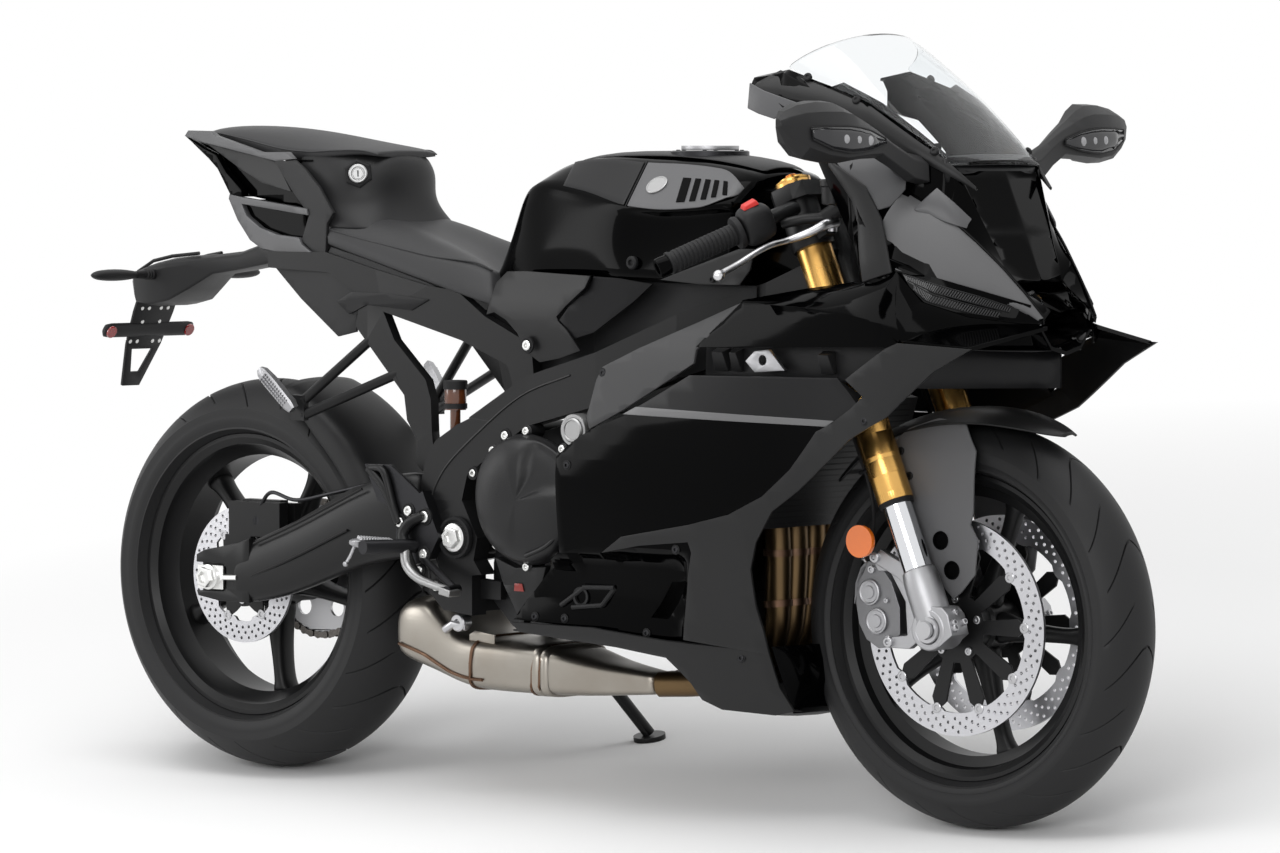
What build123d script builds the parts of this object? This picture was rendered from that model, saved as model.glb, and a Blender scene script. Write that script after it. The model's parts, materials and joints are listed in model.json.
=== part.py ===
from build123d import *
import math
import os

os.makedirs("parts", exist_ok=True)

# A fully faired sport motorcycle, in millimetres.
# It is drawn upright first: X forward, Y to the rider's left, Z up, the rear axle over X = 0
# and the ground at Z = 0.  The finished pieces then lean over onto the side stand.

# ---------------------------------------------------------------- driving dimensions
WHEELBASE = 1420.0
RAKE = 22.6
TRAIL = 94.0
LEAN = 11.0

FRONT_TYRE_R = 300.0
FRONT_TYRE_W = 120.0
FRONT_SHOULDER_R = 262.0
REAR_TYRE_R = 315.0
REAR_TYRE_W = 180.0
REAR_SHOULDER_R = 268.0
BEAD_R = 215.9
FLANGE_R = 227.0
FRONT_RIM_W = 89.0
REAR_RIM_W = 140.0
TYRE_WALL = 9.0
RIM_WALL = 5.0
RIM_WELL_R = 196.0
SPOKES = 5
SPOKE_W = 26.0

FRONT_DISC_R = 160.0
FRONT_DISC_INNER_R = 126.0
FRONT_DISC_Y = 56.0
REAR_DISC_R = 110.0
REAR_DISC_INNER_R = 76.0
REAR_DISC_Y = 78.0
DISC_T = 5.0

FORK_Y = 105.0
FORK_TUBE_R = 27.0
FORK_SLIDER_R = 21.5
FORK_GOLD_BOTTOM = 200.0
FORK_TOP = 705.0
LOWER_CLAMP = (415.0, 455.0)
UPPER_CLAMP = (672.0, 696.0)
FENDER_GAP = 26.0
AXLE_R = 12.5

CHAIN_Y = 105.0
CHAIN_PITCH = 15.875
CHAIN_W = 16.0
CHAIN_H = 15.0
REAR_TEETH = 43
FRONT_TEETH = 16
OUTPUT_SHAFT = (597.0, 405.0)

TANK_BASE = 806.0
CAP_X = 905.0
CAP_Z = 998.5
CAP_R = 44.0

PIVOT = (521.0, 399.0)
ARM_TOP = 445.0
SHOCK_TOP = (532.0, 560.0)
SHOCK_BOLT_R = 14.0
STEM_R = 15.0
BOBBIN = (118.0, 332.0)
BOBBIN_Y = 155.0
BOBBIN_R = 3.0
BOBBIN_DEPTH = 15.0
RAIL_Y = (110.0, 128.0)
TAIL_FLOOR = 838.0
TAIL_FLOOR_Y = 118.0
SEAT_BASE = [(238, 836), (331, 812), (441, 788), (498, 781)]
PEG_Y = 176.0
PEG_HUB_R = 9.0
STAND_EYE_T = 12.0
PLATE_Y_IN = 115.0
PLATE_Y_OUT = 148.0
ENGINE_HALF_W = 108.0
PANEL_T = 4.0
SEAT_GAP = 0.3
RUNNING_GAP = 0.4

# ---------------------------------------------------------------- worked-out values
LEAN_RAD = math.radians(LEAN)
RAKE_RAD = math.radians(RAKE)
STEER_UP = Vector(-math.sin(RAKE_RAD), 0, math.cos(RAKE_RAD))
STEER_GROUND = Vector(WHEELBASE + TRAIL, 0, 0)


def crown_radius(tyre_r, width, shoulder_r):
    """Radius of the tread's arc through both shoulders and the middle of the tread."""
    rise = tyre_r - shoulder_r
    half = width / 2 - 0.5
    return (half ** 2 + rise ** 2) / (2 * rise)


FRONT_CROWN_R = crown_radius(FRONT_TYRE_R, FRONT_TYRE_W, FRONT_SHOULDER_R)
REAR_CROWN_R = crown_radius(REAR_TYRE_R, REAR_TYRE_W, REAR_SHOULDER_R)
REAR_DROP = REAR_CROWN_R * (1 - math.cos(LEAN_RAD))
FRONT_DROP = FRONT_CROWN_R * (1 - math.cos(LEAN_RAD))
FRONT_AXLE = Vector(WHEELBASE, 0, FRONT_TYRE_R - (REAR_DROP - FRONT_DROP) / math.cos(LEAN_RAD))
REAR_AXLE = Vector(0, 0, REAR_TYRE_R)
STEER_BASE = (FRONT_AXLE - STEER_GROUND).dot(STEER_UP)
REAR_SPROCKET_R = CHAIN_PITCH / (2 * math.sin(math.pi / REAR_TEETH))
FRONT_SPROCKET_R = CHAIN_PITCH / (2 * math.sin(math.pi / FRONT_TEETH))


# The side stand's leg swings from the ground to a stowed line beside the silencer.
STAND_PIVOT = Vector(478, 136, 262)
STAND_FOOT_Y = 290.0
WORLD_UP = Vector(0, -math.sin(LEAN_RAD), math.cos(LEAN_RAD))
GROUND_DROP = Vector(0, 0, -REAR_DROP / math.cos(LEAN_RAD))
STAND_FOOT = Vector(545, STAND_FOOT_Y, STAND_FOOT_Y * math.tan(LEAN_RAD)) + GROUND_DROP
STAND_LEG = STAND_FOOT - STAND_PIVOT
STAND_STOWED = Vector(-250, 24, -6)
STAND_AXIS = STAND_LEG.cross(STAND_STOWED).normalized()
STAND_SWING = STAND_LEG.get_angle(STAND_STOWED)


# ---------------------------------------------------------------- helpers
def polygon(points):
    return Wire.make_polygon([Vector(*p) for p in points], close=True)


def side_plate(outline, y0, y1):
    """A flat piece with an (x, z) outline, from y0 to y1."""
    face = Face(polygon([(x, y0, z) for x, z in outline]))
    return Solid.extrude(face, Vector(0, y1 - y0, 0))


def loft(sections):
    return Solid.make_loft([polygon(s) for s in sections], ruled=True)


def half_body(stations):
    """Closed symmetric body.  stations: (x, [(half width, z), ...]) from top to bottom."""
    sections = []
    for x, profile in stations:
        left = [(x, w, z) for w, z in profile]
        right = [(x, -w, z) for w, z in reversed(profile) if w > 0]
        sections.append(left + right)
    return loft(sections)


def skin(stations, side, thickness):
    """Thin wall on one side.  stations: (x, [(half width, z), ...])."""
    sections = []
    for x, profile in stations:
        outer = [(x, side * w, z) for w, z in profile]
        inner = [(x, side * (w - thickness), z) for w, z in reversed(profile)]
        sections.append(outer + inner)
    return loft(sections)


def rod(start, end, radius):
    a, b = Vector(*start), Vector(*end)
    return Solid.make_cylinder(radius, (b - a).length, Plane(origin=a, z_dir=b - a))


def ring(start, end, outer, inner):
    return rod(start, end, outer) - rod(start, end, inner)


def disc(x, z, y0, y1, radius):
    """Cylinder across the machine, centred on (x, z)."""
    return rod((x, y0, z), (x, y1, z), radius)


def box(x0, x1, y0, y1, z0, z1):
    return Solid.make_box(x1 - x0, y1 - y0, z1 - z0).move(Location((x0, y0, z0)))


def pipe(points, radius, bend):
    path = FilletPolyline(*[Vector(*p) for p in points], radius=bend)
    return sweep(Plane(origin=path @ 0, z_dir=path % 0) * Circle(radius), path=path)


def flipped(shape):
    return shape.mirror(Plane.XZ)


def both(shape):
    return [shape, flipped(shape)]


def fused(*pieces):
    result = pieces[0]
    for piece in pieces[1:]:
        result = result + piece
    return result


def fork_point(t, y, forward=0.0):
    """Point on a fork leg, t above the axle along the leg."""
    p = FRONT_AXLE + STEER_UP * t + Vector(math.cos(RAKE_RAD), 0, math.sin(RAKE_RAD)) * forward
    return (p.X, y, p.Z)


def steer_point(t):
    """Point on the steering axis level, across the rake, with t on the fork legs."""
    return STEER_GROUND + STEER_UP * (STEER_BASE + t)


def from_front(outline):
    """Turn an outline measured from the front axle into machine coordinates."""
    return [(FRONT_AXLE.X + x, z) for x, z in outline]


NODES = {}


def node(name, *solids):
    NODES[name] = [s for group in solids for s in (group if isinstance(group, list) else [group])]


# ---------------------------------------------------------------- wheels
def spin(profile, axle):
    """Revolve an (y, radius) outline about an axle across the machine."""
    points = [(axle.X, y, axle.Z + r) for y, r in profile]
    face = Face(polygon(points))
    return Solid.revolve(face, 360, Axis(axle, (0, 1, 0)))


def tyre(axle, tyre_r, width, shoulder_r, rim_w):
    half = width / 2 - 0.5
    bead = rim_w / 2 - RIM_WALL - 1
    x = axle.X

    def at(y, r):
        return Vector(x, y, axle.Z + r)

    inner_half = half - TYRE_WALL
    inner_crown = tyre_r - TYRE_WALL
    edges = [
        Edge.make_three_point_arc(at(-half, shoulder_r), at(0, tyre_r), at(half, shoulder_r)),
        Edge.make_three_point_arc(at(half, shoulder_r), at(half - 1, shoulder_r - 22), at(bead, FLANGE_R + 1)),
        Edge.make_line(at(bead, FLANGE_R + 1), at(bead, BEAD_R + 0.5)),
        Edge.make_line(at(bead, BEAD_R + 0.5), at(bead - 11, BEAD_R + 0.5)),
        Edge.make_line(at(bead - 11, BEAD_R + 0.5), at(inner_half, shoulder_r - 12)),
        Edge.make_three_point_arc(at(inner_half, shoulder_r - 12), at(0, inner_crown), at(-inner_half, shoulder_r - 12)),
        Edge.make_line(at(-inner_half, shoulder_r - 12), at(-bead + 11, BEAD_R + 0.5)),
        Edge.make_line(at(-bead + 11, BEAD_R + 0.5), at(-bead, BEAD_R + 0.5)),
        Edge.make_line(at(-bead, BEAD_R + 0.5), at(-bead, FLANGE_R + 1)),
        Edge.make_three_point_arc(at(-bead, FLANGE_R + 1), at(-half + 1, shoulder_r - 22), at(-half, shoulder_r)),
    ]
    return Solid.revolve(Face(Wire(edges)), 360, Axis(axle, (0, 1, 0)))


def rim(axle, rim_w, hub_r, hub_half, spoke_half):
    h = rim_w / 2
    well = h * 0.55
    barrel = spin([
        (-h, FLANGE_R), (-h + RIM_WALL, FLANGE_R), (-h + RIM_WALL, BEAD_R), (-h + 20, BEAD_R),
        (-well + 8, RIM_WELL_R), (well - 8, RIM_WELL_R), (h - 20, BEAD_R), (h - RIM_WALL, BEAD_R),
        (h - RIM_WALL, FLANGE_R), (h, FLANGE_R), (h, BEAD_R - RIM_WALL), (h - 18, BEAD_R - RIM_WALL),
        (well - 8, RIM_WELL_R - RIM_WALL), (-well + 8, RIM_WELL_R - RIM_WALL),
        (-h + 18, BEAD_R - RIM_WALL), (-h, BEAD_R - RIM_WALL)], axle)
    hub = ring((axle.X, -hub_half, axle.Z), (axle.X, hub_half, axle.Z), hub_r, AXLE_R + RUNNING_GAP)
    wheel = barrel + hub
    for i in range(SPOKES):
        root, tip = SPOKE_W * 0.72, SPOKE_W * 0.5
        r0, r1 = hub_r - 4, RIM_WELL_R - 2
        spoke = loft([
            [(axle.X + r0, -spoke_half, axle.Z - root), (axle.X + r0, spoke_half, axle.Z - root),
             (axle.X + r0, spoke_half, axle.Z + root), (axle.X + r0, -spoke_half, axle.Z + root)],
            [(axle.X + r1, -spoke_half + 6, axle.Z - tip), (axle.X + r1, spoke_half - 6, axle.Z - tip),
             (axle.X + r1, spoke_half - 6, axle.Z + tip), (axle.X + r1, -spoke_half + 6, axle.Z + tip)]])
        wheel = wheel + spoke.rotate(Axis(axle, (0, 1, 0)), 90 + i * 360 / SPOKES)
    return wheel


def brake_disc(axle, y, radius, inner, hub_r):
    """Disc ring, a spidered carrier and the hub boss it bolts to, from y outwards."""
    side = 1 if y > 0 else -1
    y1 = y + side * DISC_T
    plate = ring((axle.X, y, axle.Z), (axle.X, y1, axle.Z), radius, inner)
    boss = ring((axle.X, y - side, axle.Z), (axle.X, y1, axle.Z), hub_r + 20, AXLE_R + 8)
    arms = []
    count = 10
    for i in range(count):
        arm = box(axle.X + hub_r + 10, axle.X + inner + 4, min(y, y1) + 0.5, max(y, y1) - 0.5, axle.Z - 5, axle.Z + 5)
        arms.append(arm.rotate(Axis(axle, (0, 1, 0)), i * 360 / count))
    return fused(plate, boss, *arms)


def front_wheel():
    node("front_tyre", tyre(FRONT_AXLE, FRONT_TYRE_R, FRONT_TYRE_W, FRONT_SHOULDER_R, FRONT_RIM_W))
    node("front_rim", rim(FRONT_AXLE, FRONT_RIM_W, 38, FRONT_DISC_Y - 1 - SEAT_GAP, 18))
    node("front_discs", [brake_disc(FRONT_AXLE, s * FRONT_DISC_Y, FRONT_DISC_R, FRONT_DISC_INNER_R, 30)
                         for s in (1, -1)])


def rear_wheel():
    node("rear_tyre", tyre(REAR_AXLE, REAR_TYRE_R, REAR_TYRE_W, REAR_SHOULDER_R, REAR_RIM_W))
    node("rear_rim", rim(REAR_AXLE, REAR_RIM_W, 50, REAR_DISC_Y - 1 - SEAT_GAP, 26))
    node("rear_disc", brake_disc(REAR_AXLE, -REAR_DISC_Y, REAR_DISC_R, REAR_DISC_INNER_R, 30))
    x, z = REAR_AXLE.X, REAR_AXLE.Z
    tip = REAR_SPROCKET_R - CHAIN_H / 2 - 1
    plate = ring((x, CHAIN_Y - 3, z), (x, CHAIN_Y + 3, z), tip, 62)
    carrier = ring((x, REAR_DISC_Y - 1, z), (x, CHAIN_Y + 3, z), 66, AXLE_R + 10)
    node("rear_sprocket", plate + carrier)


# ---------------------------------------------------------------- chassis structure
def beam_stations():
    """The main beam from the pivot plate to the head: x, inner y, outer y, bottom z, top z."""
    middle = (steer_point(LOWER_CLAMP[1]) + steer_point(UPPER_CLAMP[0])) * 0.5
    run = middle.X - PIVOT[0]
    return [
        (PIVOT[0] + run, 14, 42, middle.Z - 85, middle.Z + 42),
        (PIVOT[0] + 0.87 * run, 62, 98, middle.Z - 109, middle.Z - 8),
        (PIVOT[0] + 0.67 * run, 112, 148, 655, 752),
        (PIVOT[0] + 0.43 * run, 116, 150, 610, 692),
        (PIVOT[0] + 0.212 * run, PLATE_Y_IN, PLATE_Y_OUT, 575, 652),
        (PIVOT[0] + 0.037 * run, PLATE_Y_IN, PLATE_Y_OUT, 500, 586),
    ]


def above_beams():
    """Everything under the line just over the beams' tops."""
    tops = [(x, zt + SEAT_GAP) for x, yi, yo, zb, zt in beam_stations()]
    return side_plate(tops + [(tops[-1][0], 400), (tops[0][0], 400)], -170, 170)


def under_beams():
    """Everything over the line just under the beams' bottoms."""
    bottoms = [(x, zb - SEAT_GAP) for x, yi, yo, zb, zt in beam_stations()]
    return side_plate(bottoms + [(bottoms[-1][0], 1000), (bottoms[0][0], 1000)], -170, 170)


def pivot_plate(y0, y1):
    return side_plate([(560, 590), (520, 574), (477, 549), (457, 525), (446, 485), (443, 454),
                       (461, 424), (482, 362), (482, 347), (462, 336), (462, 312), (492, 285),
                       (551, 279), (551, 341), (571, 343), (554, 365), (562, 400), (530, 457),
                       (543, 504), (575, 530)], y0, y1)


def frame():
    head_low = steer_point(LOWER_CLAMP[1] + 5.5)
    head_high = steer_point(UPPER_CLAMP[0] - 5.5)
    beam = loft([[(x, yi, zb), (x, yo, zb), (x, yo, zt), (x, yi, zt)] for x, yi, yo, zb, zt in beam_stations()])
    side = beam + pivot_plate(PLATE_Y_IN, PLATE_Y_OUT)
    side = side - disc(PIVOT[0], PIVOT[1], PLATE_Y_IN - 1, PLATE_Y_OUT + 1, AXLE_R)
    head = rod(head_low, head_high, 34)
    bore = rod(head_low - STEER_UP, head_high + STEER_UP, STEM_R + RUNNING_GAP)
    cross = fused(box(505, 537, -PLATE_Y_IN - 1, PLATE_Y_IN + 1, 283, 305),
                  disc(SHOCK_TOP[0], SHOCK_TOP[1], -PLATE_Y_IN - 1, PLATE_Y_IN + 1, SHOCK_BOLT_R))
    mounts = fused(side_plate([(540, 304), (592, 304), (592, 332), (540, 336)], PLATE_Y_IN, PLATE_Y_IN + 12),
                   disc(579, 318, ENGINE_HALF_W + SEAT_GAP, PLATE_Y_IN + 12, 12))
    hanger = side_plate([(948, 664), (1008, 682), (1006, 604), (984, 596), (962, 640)], ENGINE_HALF_W + SEAT_GAP, 122)
    stays = [rod((900, 140, 650), (900, 240, 650), 8) & fairing_room(),
             rod((1110, 76, 735), (1110, 250, 735), 7) & fairing_room()]
    side = fused(side, mounts, hanger, *stays)
    whole = fused(side, flipped(side), head, cross) - bore
    outside = STAND_AXIS * (STAND_EYE_T / 2 + SEAT_GAP)
    stand_lug = fused(rod(STAND_PIVOT - STAND_AXIS * 22, STAND_PIVOT - outside, 13),
                      side_plate([(466, 246), (494, 246), (500, 300), (470, 318)], PLATE_Y_IN, PLATE_Y_IN + 10))
    stand_lug = stand_lug - rod(STAND_PIVOT - outside, STAND_PIVOT + STAND_AXIS * 40, 18)
    node("frame", fused(whole, stand_lug))
    node("swingarm_pivot", disc(PIVOT[0], PIVOT[1], -PLATE_Y_OUT - 8, PLATE_Y_OUT + 8, AXLE_R))


def subframe():
    y0, y1 = RAIL_Y
    upper = side_plate([(660, 652.4), (620, 629.3), (606, 668), (511, 704), (347, 746), (230, 806), (100, 812),
                        (100, TAIL_FLOOR - SEAT_GAP), (226, TAIL_FLOOR - SEAT_GAP), (331, SEAT_BASE[1][1]),
                        (441, SEAT_BASE[2][1]), (503, SEAT_BASE[3][1] - 0.6), (560, 742), (655, 700)], y0, y1)
    lower = side_plate([(300, 768), (289, 722), (392, 616), (398, 577), (420, 545), (414, 512), (430, 498),
                        (449.7, 500), (455.2, 520), (450, 560), (448, 610), (437, 641), (371, 702), (345, 752)], y0, y1)
    side = upper + lower
    boss = box(184, 214, PEG_Y - 20, PEG_Y - PEG_HUB_R - SEAT_GAP, 572, 612)
    bars = [rod((318, y0 + 9, 704), (206, PEG_Y - 16, 603), 8), rod((380, y0 + 9, 652), (206, PEG_Y - 16, 580), 8)]
    side = fused(side, boss, *bars)
    ties = [box(100, 124, -y0 - 1, y0 + 1, 812, TAIL_FLOOR - SEAT_GAP), box(226, 250, -y0 - 1, y0 + 1, 806, 818)]
    node("subframe", fused(side, flipped(side), *ties))


def swingarm():
    px, pz = PIVOT
    right = loft([[(x, -yi, zb), (x, -yo, zb), (x, -yo, zt), (x, -yi, zt)] for x, yi, yo, zb, zt in [
        (px - 93, 60, 108, pz - 33, pz + 71), (px - 131, 96, 138, pz - 37, pz + 93), (300, 106, 148, 350, 468),
        (180, 108, 150, 308, 411), (60, 110, 148, 283, 366), (-28, 112, 146, 290, 345)]])
    left = loft([[(x, yi, zb), (x, yo, zb), (x, yo, zt), (x, yi, zt)] for x, yi, yo, zb, zt in [
        (px - 93, 60, 108, pz - 41, pz + 25), (px - 129, 116, 142, pz - 47, pz + 27), (300, 118, 150, 336, 420),
        (180, 118, 152, 300, 390), (60, 118, 150, 280, 360), (-28, 118, 146, 290, 345)]])
    cross = box(px - 141, px - 81, -93, 93, pz - 37, ARM_TOP)
    tube = disc(px, pz, -ENGINE_HALF_W, ENGINE_HALF_W, 28)
    necks = [box(px - 85, px, s * 84 - 22, s * 84 + 22, pz - 23, pz + 23) for s in (1, -1)]
    arm = fused(cross, right, left, tube, *necks)
    arm = arm - disc(px, pz, -130, 130, AXLE_R + RUNNING_GAP)
    slots = disc(0, REAR_AXLE.Z, -160, 160, AXLE_R)
    for side in (-1, 1):
        arm = arm + disc(BOBBIN[0], BOBBIN[1], side * 140, side * BOBBIN_Y, 11)
        arm = arm - disc(BOBBIN[0], BOBBIN[1], side * (BOBBIN_Y - BOBBIN_DEPTH), side * (BOBBIN_Y + 1), BOBBIN_R)
    node("swingarm", arm - slots)
    node("rear_axle", disc(0, REAR_AXLE.Z, -162, 162, AXLE_R))


def shock():
    eye_r = 18
    top = Vector(SHOCK_TOP[0], 0, SHOCK_TOP[1])
    bottom = Vector(PIVOT[0] - 106, 0, ARM_TOP + SEAT_GAP + eye_r)
    line = (top - bottom).normalized()
    body = fused(rod(bottom + line * 6, top - line * 16, 15), rod(bottom + line * 34, top - line * 34, 31),
                 disc(bottom.X, bottom.Z, -16, 16, eye_r), disc(top.X, top.Z, -14, 14, SHOCK_BOLT_R + 10))
    node("rear_shock", body - disc(top.X, top.Z, -15, 15, SHOCK_BOLT_R + SEAT_GAP))


def engine():
    case = side_plate([(560, 300), (600, 262), (900, 262), (1010, 330), (1030, 420), (1060, 560),
                       (1000, 640), (860, 600), (780, 600), (640, 560), (575, 480), (575, 430), (560, 360)],
                      -ENGINE_HALF_W, ENGINE_HALF_W)
    pocket_y0, pocket_y1 = CHAIN_Y - CHAIN_W / 2 - 3, CHAIN_Y + CHAIN_W / 2 + 3
    reach = FRONT_SPROCKET_R + CHAIN_H / 2 + 5
    pocket = fused(disc(OUTPUT_SHAFT[0], OUTPUT_SHAFT[1], pocket_y0, pocket_y1, reach),
                   box(540, OUTPUT_SHAFT[0], pocket_y0, pocket_y1, OUTPUT_SHAFT[1] - reach - 14, OUTPUT_SHAFT[1] + reach))
    node("engine_block", case - pocket)
    right = fused(disc(688, 464, -ENGINE_HALF_W, -190, 92), disc(694, 464, -190, -212, 78),
                  disc(774, 573, -ENGINE_HALF_W, -185, 20))
    left = fused(disc(800, 440, ENGINE_HALF_W, 180, 84), disc(800, 440, 180, 196, 66),
                 disc(OUTPUT_SHAFT[0] + 60, 430, ENGINE_HALF_W, 140, 74) - pocket)
    node("engine_covers", right, left)


def exhaust():
    headers = []
    for y in (-75, 0, 75):
        headers.append(pipe([(1046, y, 490), (1077, y, 483), (1072, y, 300), (990, y * 0.6 - 20, 215), (880, -60, 205)],
                            18, 26))
    node("exhaust_headers", fused(*headers))
    body = half_body([
        (358, [(0, 292), (86, 292), (92, 250), (80, 186), (0, 180)]),
        (440, [(0, 300), (98, 296), (100, 240), (88, 160), (0, 156)]),
        (560, [(0, 256), (94, 254), (96, 210), (86, 158), (0, 156)]),
        (640, [(0, 240), (60, 240), (64, 205), (56, 166), (0, 164)]),
    ]).moved(Location((0, -14, 0)))
    collector = rod((630, -30, 204), (850, -58, 205), 30)
    lug = box(512, 530, -8, 8, 250, 283 - SEAT_GAP)
    node("muffler", fused(body, collector, lug))


def radiator():
    x = FRONT_AXLE.X
    core = loft([[(x - 316, y, 444), (x - 290, y, 436), (x - 230, y, 625), (x - 258, y, 632)] for y in (-150, 150)])
    stays = [rod((x - 246, s * 50, 624), (x - 266, s * 46, 740), 7) - under_beams() for s in (1, -1)]
    node("radiator", fused(core, *stays))


# ---------------------------------------------------------------- tank, seats and tail
TANK = [
    # x, (half width, z) over the top and down the side to the flat base
    (500, [(0, 814), (40, 809), (66, 801), (70, TANK_BASE - 14), (0, TANK_BASE - 14)]),
    (566, [(0, 880), (46, 868), (92, 836), (98, TANK_BASE), (0, TANK_BASE)]),
    (612, [(0, 958), (52, 943), (104, 880), (110, TANK_BASE), (0, TANK_BASE)]),
    (660, [(0, 992), (62, 984), (120, 906), (126, TANK_BASE), (0, TANK_BASE)]),
    (750, [(0, 998), (74, 988), (136, 934), (142, TANK_BASE), (0, TANK_BASE)]),
    (860, [(0, 998), (76, 984), (152, 912), (152, TANK_BASE), (0, TANK_BASE)]),
    (1000, [(0, 986), (72, 962), (152, 908), (154, TANK_BASE), (0, TANK_BASE)]),
    (1062, [(0, 974), (62, 950), (146, 900), (150, TANK_BASE), (0, TANK_BASE)]),
]


def tank():
    body = half_body(TANK)
    neck = rod((CAP_X, 0, CAP_Z - 20), (CAP_X, 0, CAP_Z), CAP_R + 6)
    posts = [rod((x, y, z), (x, y, TANK_BASE + 1), 9) - above_beams()
             for x, z in ((828, 690),) for y in (-130, 130)]
    node("fuel_tank", fused(body, neck, *posts))
    node("fuel_cap_lid", rod((CAP_X, 0, CAP_Z + SEAT_GAP), (CAP_X, 0, CAP_Z + 7), CAP_R))


def tank_covers():
    outline = [(588, 768), (600, 786), (645, TANK_BASE - SEAT_GAP), (806, TANK_BASE - SEAT_GAP), (806, 796), (752, 748),
               (806, 706), (726, 690), (690, 682), (651, 706), (570, 744)]
    front = [(851, TANK_BASE - SEAT_GAP), (1060, TANK_BASE - SEAT_GAP), (1060, 790), (1000, 780)]
    pieces = [side_plate(outline, PLATE_Y_IN + 8, PLATE_Y_IN + 42), side_plate(front, PLATE_Y_IN + 8, PLATE_Y_IN + 36)]
    node("tank_covers", *[both(p) for p in pieces])


def seats():
    rider = half_body([
        (SEAT_BASE[0][0], [(0, 908), (70, 906), (112, 880), (120, SEAT_BASE[0][1] + 16), (118, SEAT_BASE[0][1] + SEAT_GAP),
                           (0, SEAT_BASE[0][1] + SEAT_GAP)]),
        (SEAT_BASE[1][0], [(0, 880), (75, 890), (122, 848), (130, 828), (128, SEAT_BASE[1][1] + SEAT_GAP),
                           (0, SEAT_BASE[1][1] + SEAT_GAP)]),
        (SEAT_BASE[2][0], [(0, 846), (75, 862), (126, 820), (134, 804), (132, SEAT_BASE[2][1] + SEAT_GAP),
                           (0, SEAT_BASE[2][1] + SEAT_GAP)]),
        (SEAT_BASE[3][0] - 1, [(0, 826), (66, 834), (112, 796), (122, 790), (120, SEAT_BASE[3][1] + SEAT_GAP),
                           (0, SEAT_BASE[3][1] + SEAT_GAP)]),
    ])
    node("rider_seat", rider)
    g = SEAT_GAP
    passenger = half_body([
        (-95, [(0, 1037), (34, 1037), (52, 1030), (50, 1010 + g), (0, 1009.6 + g)]),
        (0, [(0, 1040), (44, 1040), (70, 1024), (66, 1007 + g), (0, 1009 + g)]),
        (110, [(0, 1031), (50, 1030), (90, 1002), (84, 986 + g), (0, 992 + g)]),
        (200, [(0, 1016), (56, 1014), (95, 1000), (92, 986 + g), (0, 978 + g)]),
        (262, [(0, 1003), (50, 1000), (80, 992), (76, 986 + g), (0, 968 + g)]),
        (288, [(0, 992), (44, 988), (64, 978), (60, 974 + g), (0, 964 + g)]),
    ])
    node("passenger_seat", passenger)


TAIL = [
    # x, (half width, z): seat floor, floor's edge, fin top, side, lower edge, underside
    (-110, [(0, 1006), (50, 1008), (92, 1029), (94, 1022), (88, 1014), (0, 996)]),
    (-50, [(0, 1008), (58, 1008.4), (86, 1029), (96, 992), (90, 970), (0, 958)]),
    (-15, [(0, 1009), (64, 1007), (92, 1018), (99, 965), (88, 922), (0, 905)]),
    (30, [(0, 1004), (74, 1000), (100, 1006), (107, 940), (86, 856), (0, 846)]),
    (110, [(0, 992), (84, 985), (108, 984), (117, 930), (112, TAIL_FLOOR), (0, TAIL_FLOOR)]),
    (200, [(0, 978), (92, 985), (113, 940), (123, 890), (120, TAIL_FLOOR), (0, TAIL_FLOOR)]),
    (226, [(0, 974), (86, 985), (110, 934), (120, 916), (118, 912), (0, 912)]),
    (300, [(0, 962), (60, 973), (88, 925), (110, 912), (108, 911), (0, 911)]),
]


def tail():
    node("tail_cowl", half_body(TAIL))
    lamp = side_plate([(-104, 1004), (-46, 966), (-56, 942), (-110, 976)], -46, 46)
    lamp = lamp - half_body(TAIL).moved(Location((-0.17, 0, -0.25)))
    node("taillight", min(lamp.solids(), key=lambda s: s.center().Z))
    cover = side_plate([(30, 846), (34, 813), (86, 814), (152, 769), (253, 706), (289, 713), (302, 752), (348, 738),
                        (500, 706), (560, 700), (540, 745), (498, 770), (389, 796), (236, 836)],
                       RAIL_Y[1] + SEAT_GAP, RAIL_Y[1] + SEAT_GAP + 3)
    node("tail_covers", both(cover))
    arm = fused(
        loft([[(60, -30, TAIL_FLOOR - 1), (60, 30, TAIL_FLOOR - 1), (60, 30, 812), (60, -30, 812)],
              [(-170, -42, 826), (-170, 42, 826), (-170, 42, 806), (-170, -42, 806)]]),
        side_plate([(-150, 828), (-271, 806), (-264, 740), (-330, 612), (-343, 606), (-322, 606),
                    (-290, 623), (-239, 687), (-160, 745)], -46, 46),
        box(58, 100 - SEAT_GAP, -30, 30, 814, TAIL_FLOOR - 1))
    node("plate_holder", arm)
    node("rear_indicators", [fused(rod((-218, s * 46.3, 795.5), (-218, s * 121, 795.5), 9),
                                   box(-248, -206, s * 158 - 38, s * 158 + 38, 784, 806)) for s in (1, -1)])


def hugger():
    outer_r = REAR_TYRE_R + 22
    x, z = REAR_AXLE.X, REAR_AXLE.Z
    shell = ring((x, -96, z), (x, 88, z), outer_r, outer_r - PANEL_T)
    wedge = side_plate([(0, z), (500, z + 80), (500, 760), (150, 760)], -200, 200)
    mount_x = PIVOT[0] - 141 - SEAT_GAP
    feet = [box(316, mount_x, y - 10, y + 10, 404, 414) for y in (-60, 52)]
    feet = [foot - disc(x, z, -200, 200, outer_r - PANEL_T + 1) for foot in feet]
    node("hugger", fused(shell & wedge, *feet))


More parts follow.
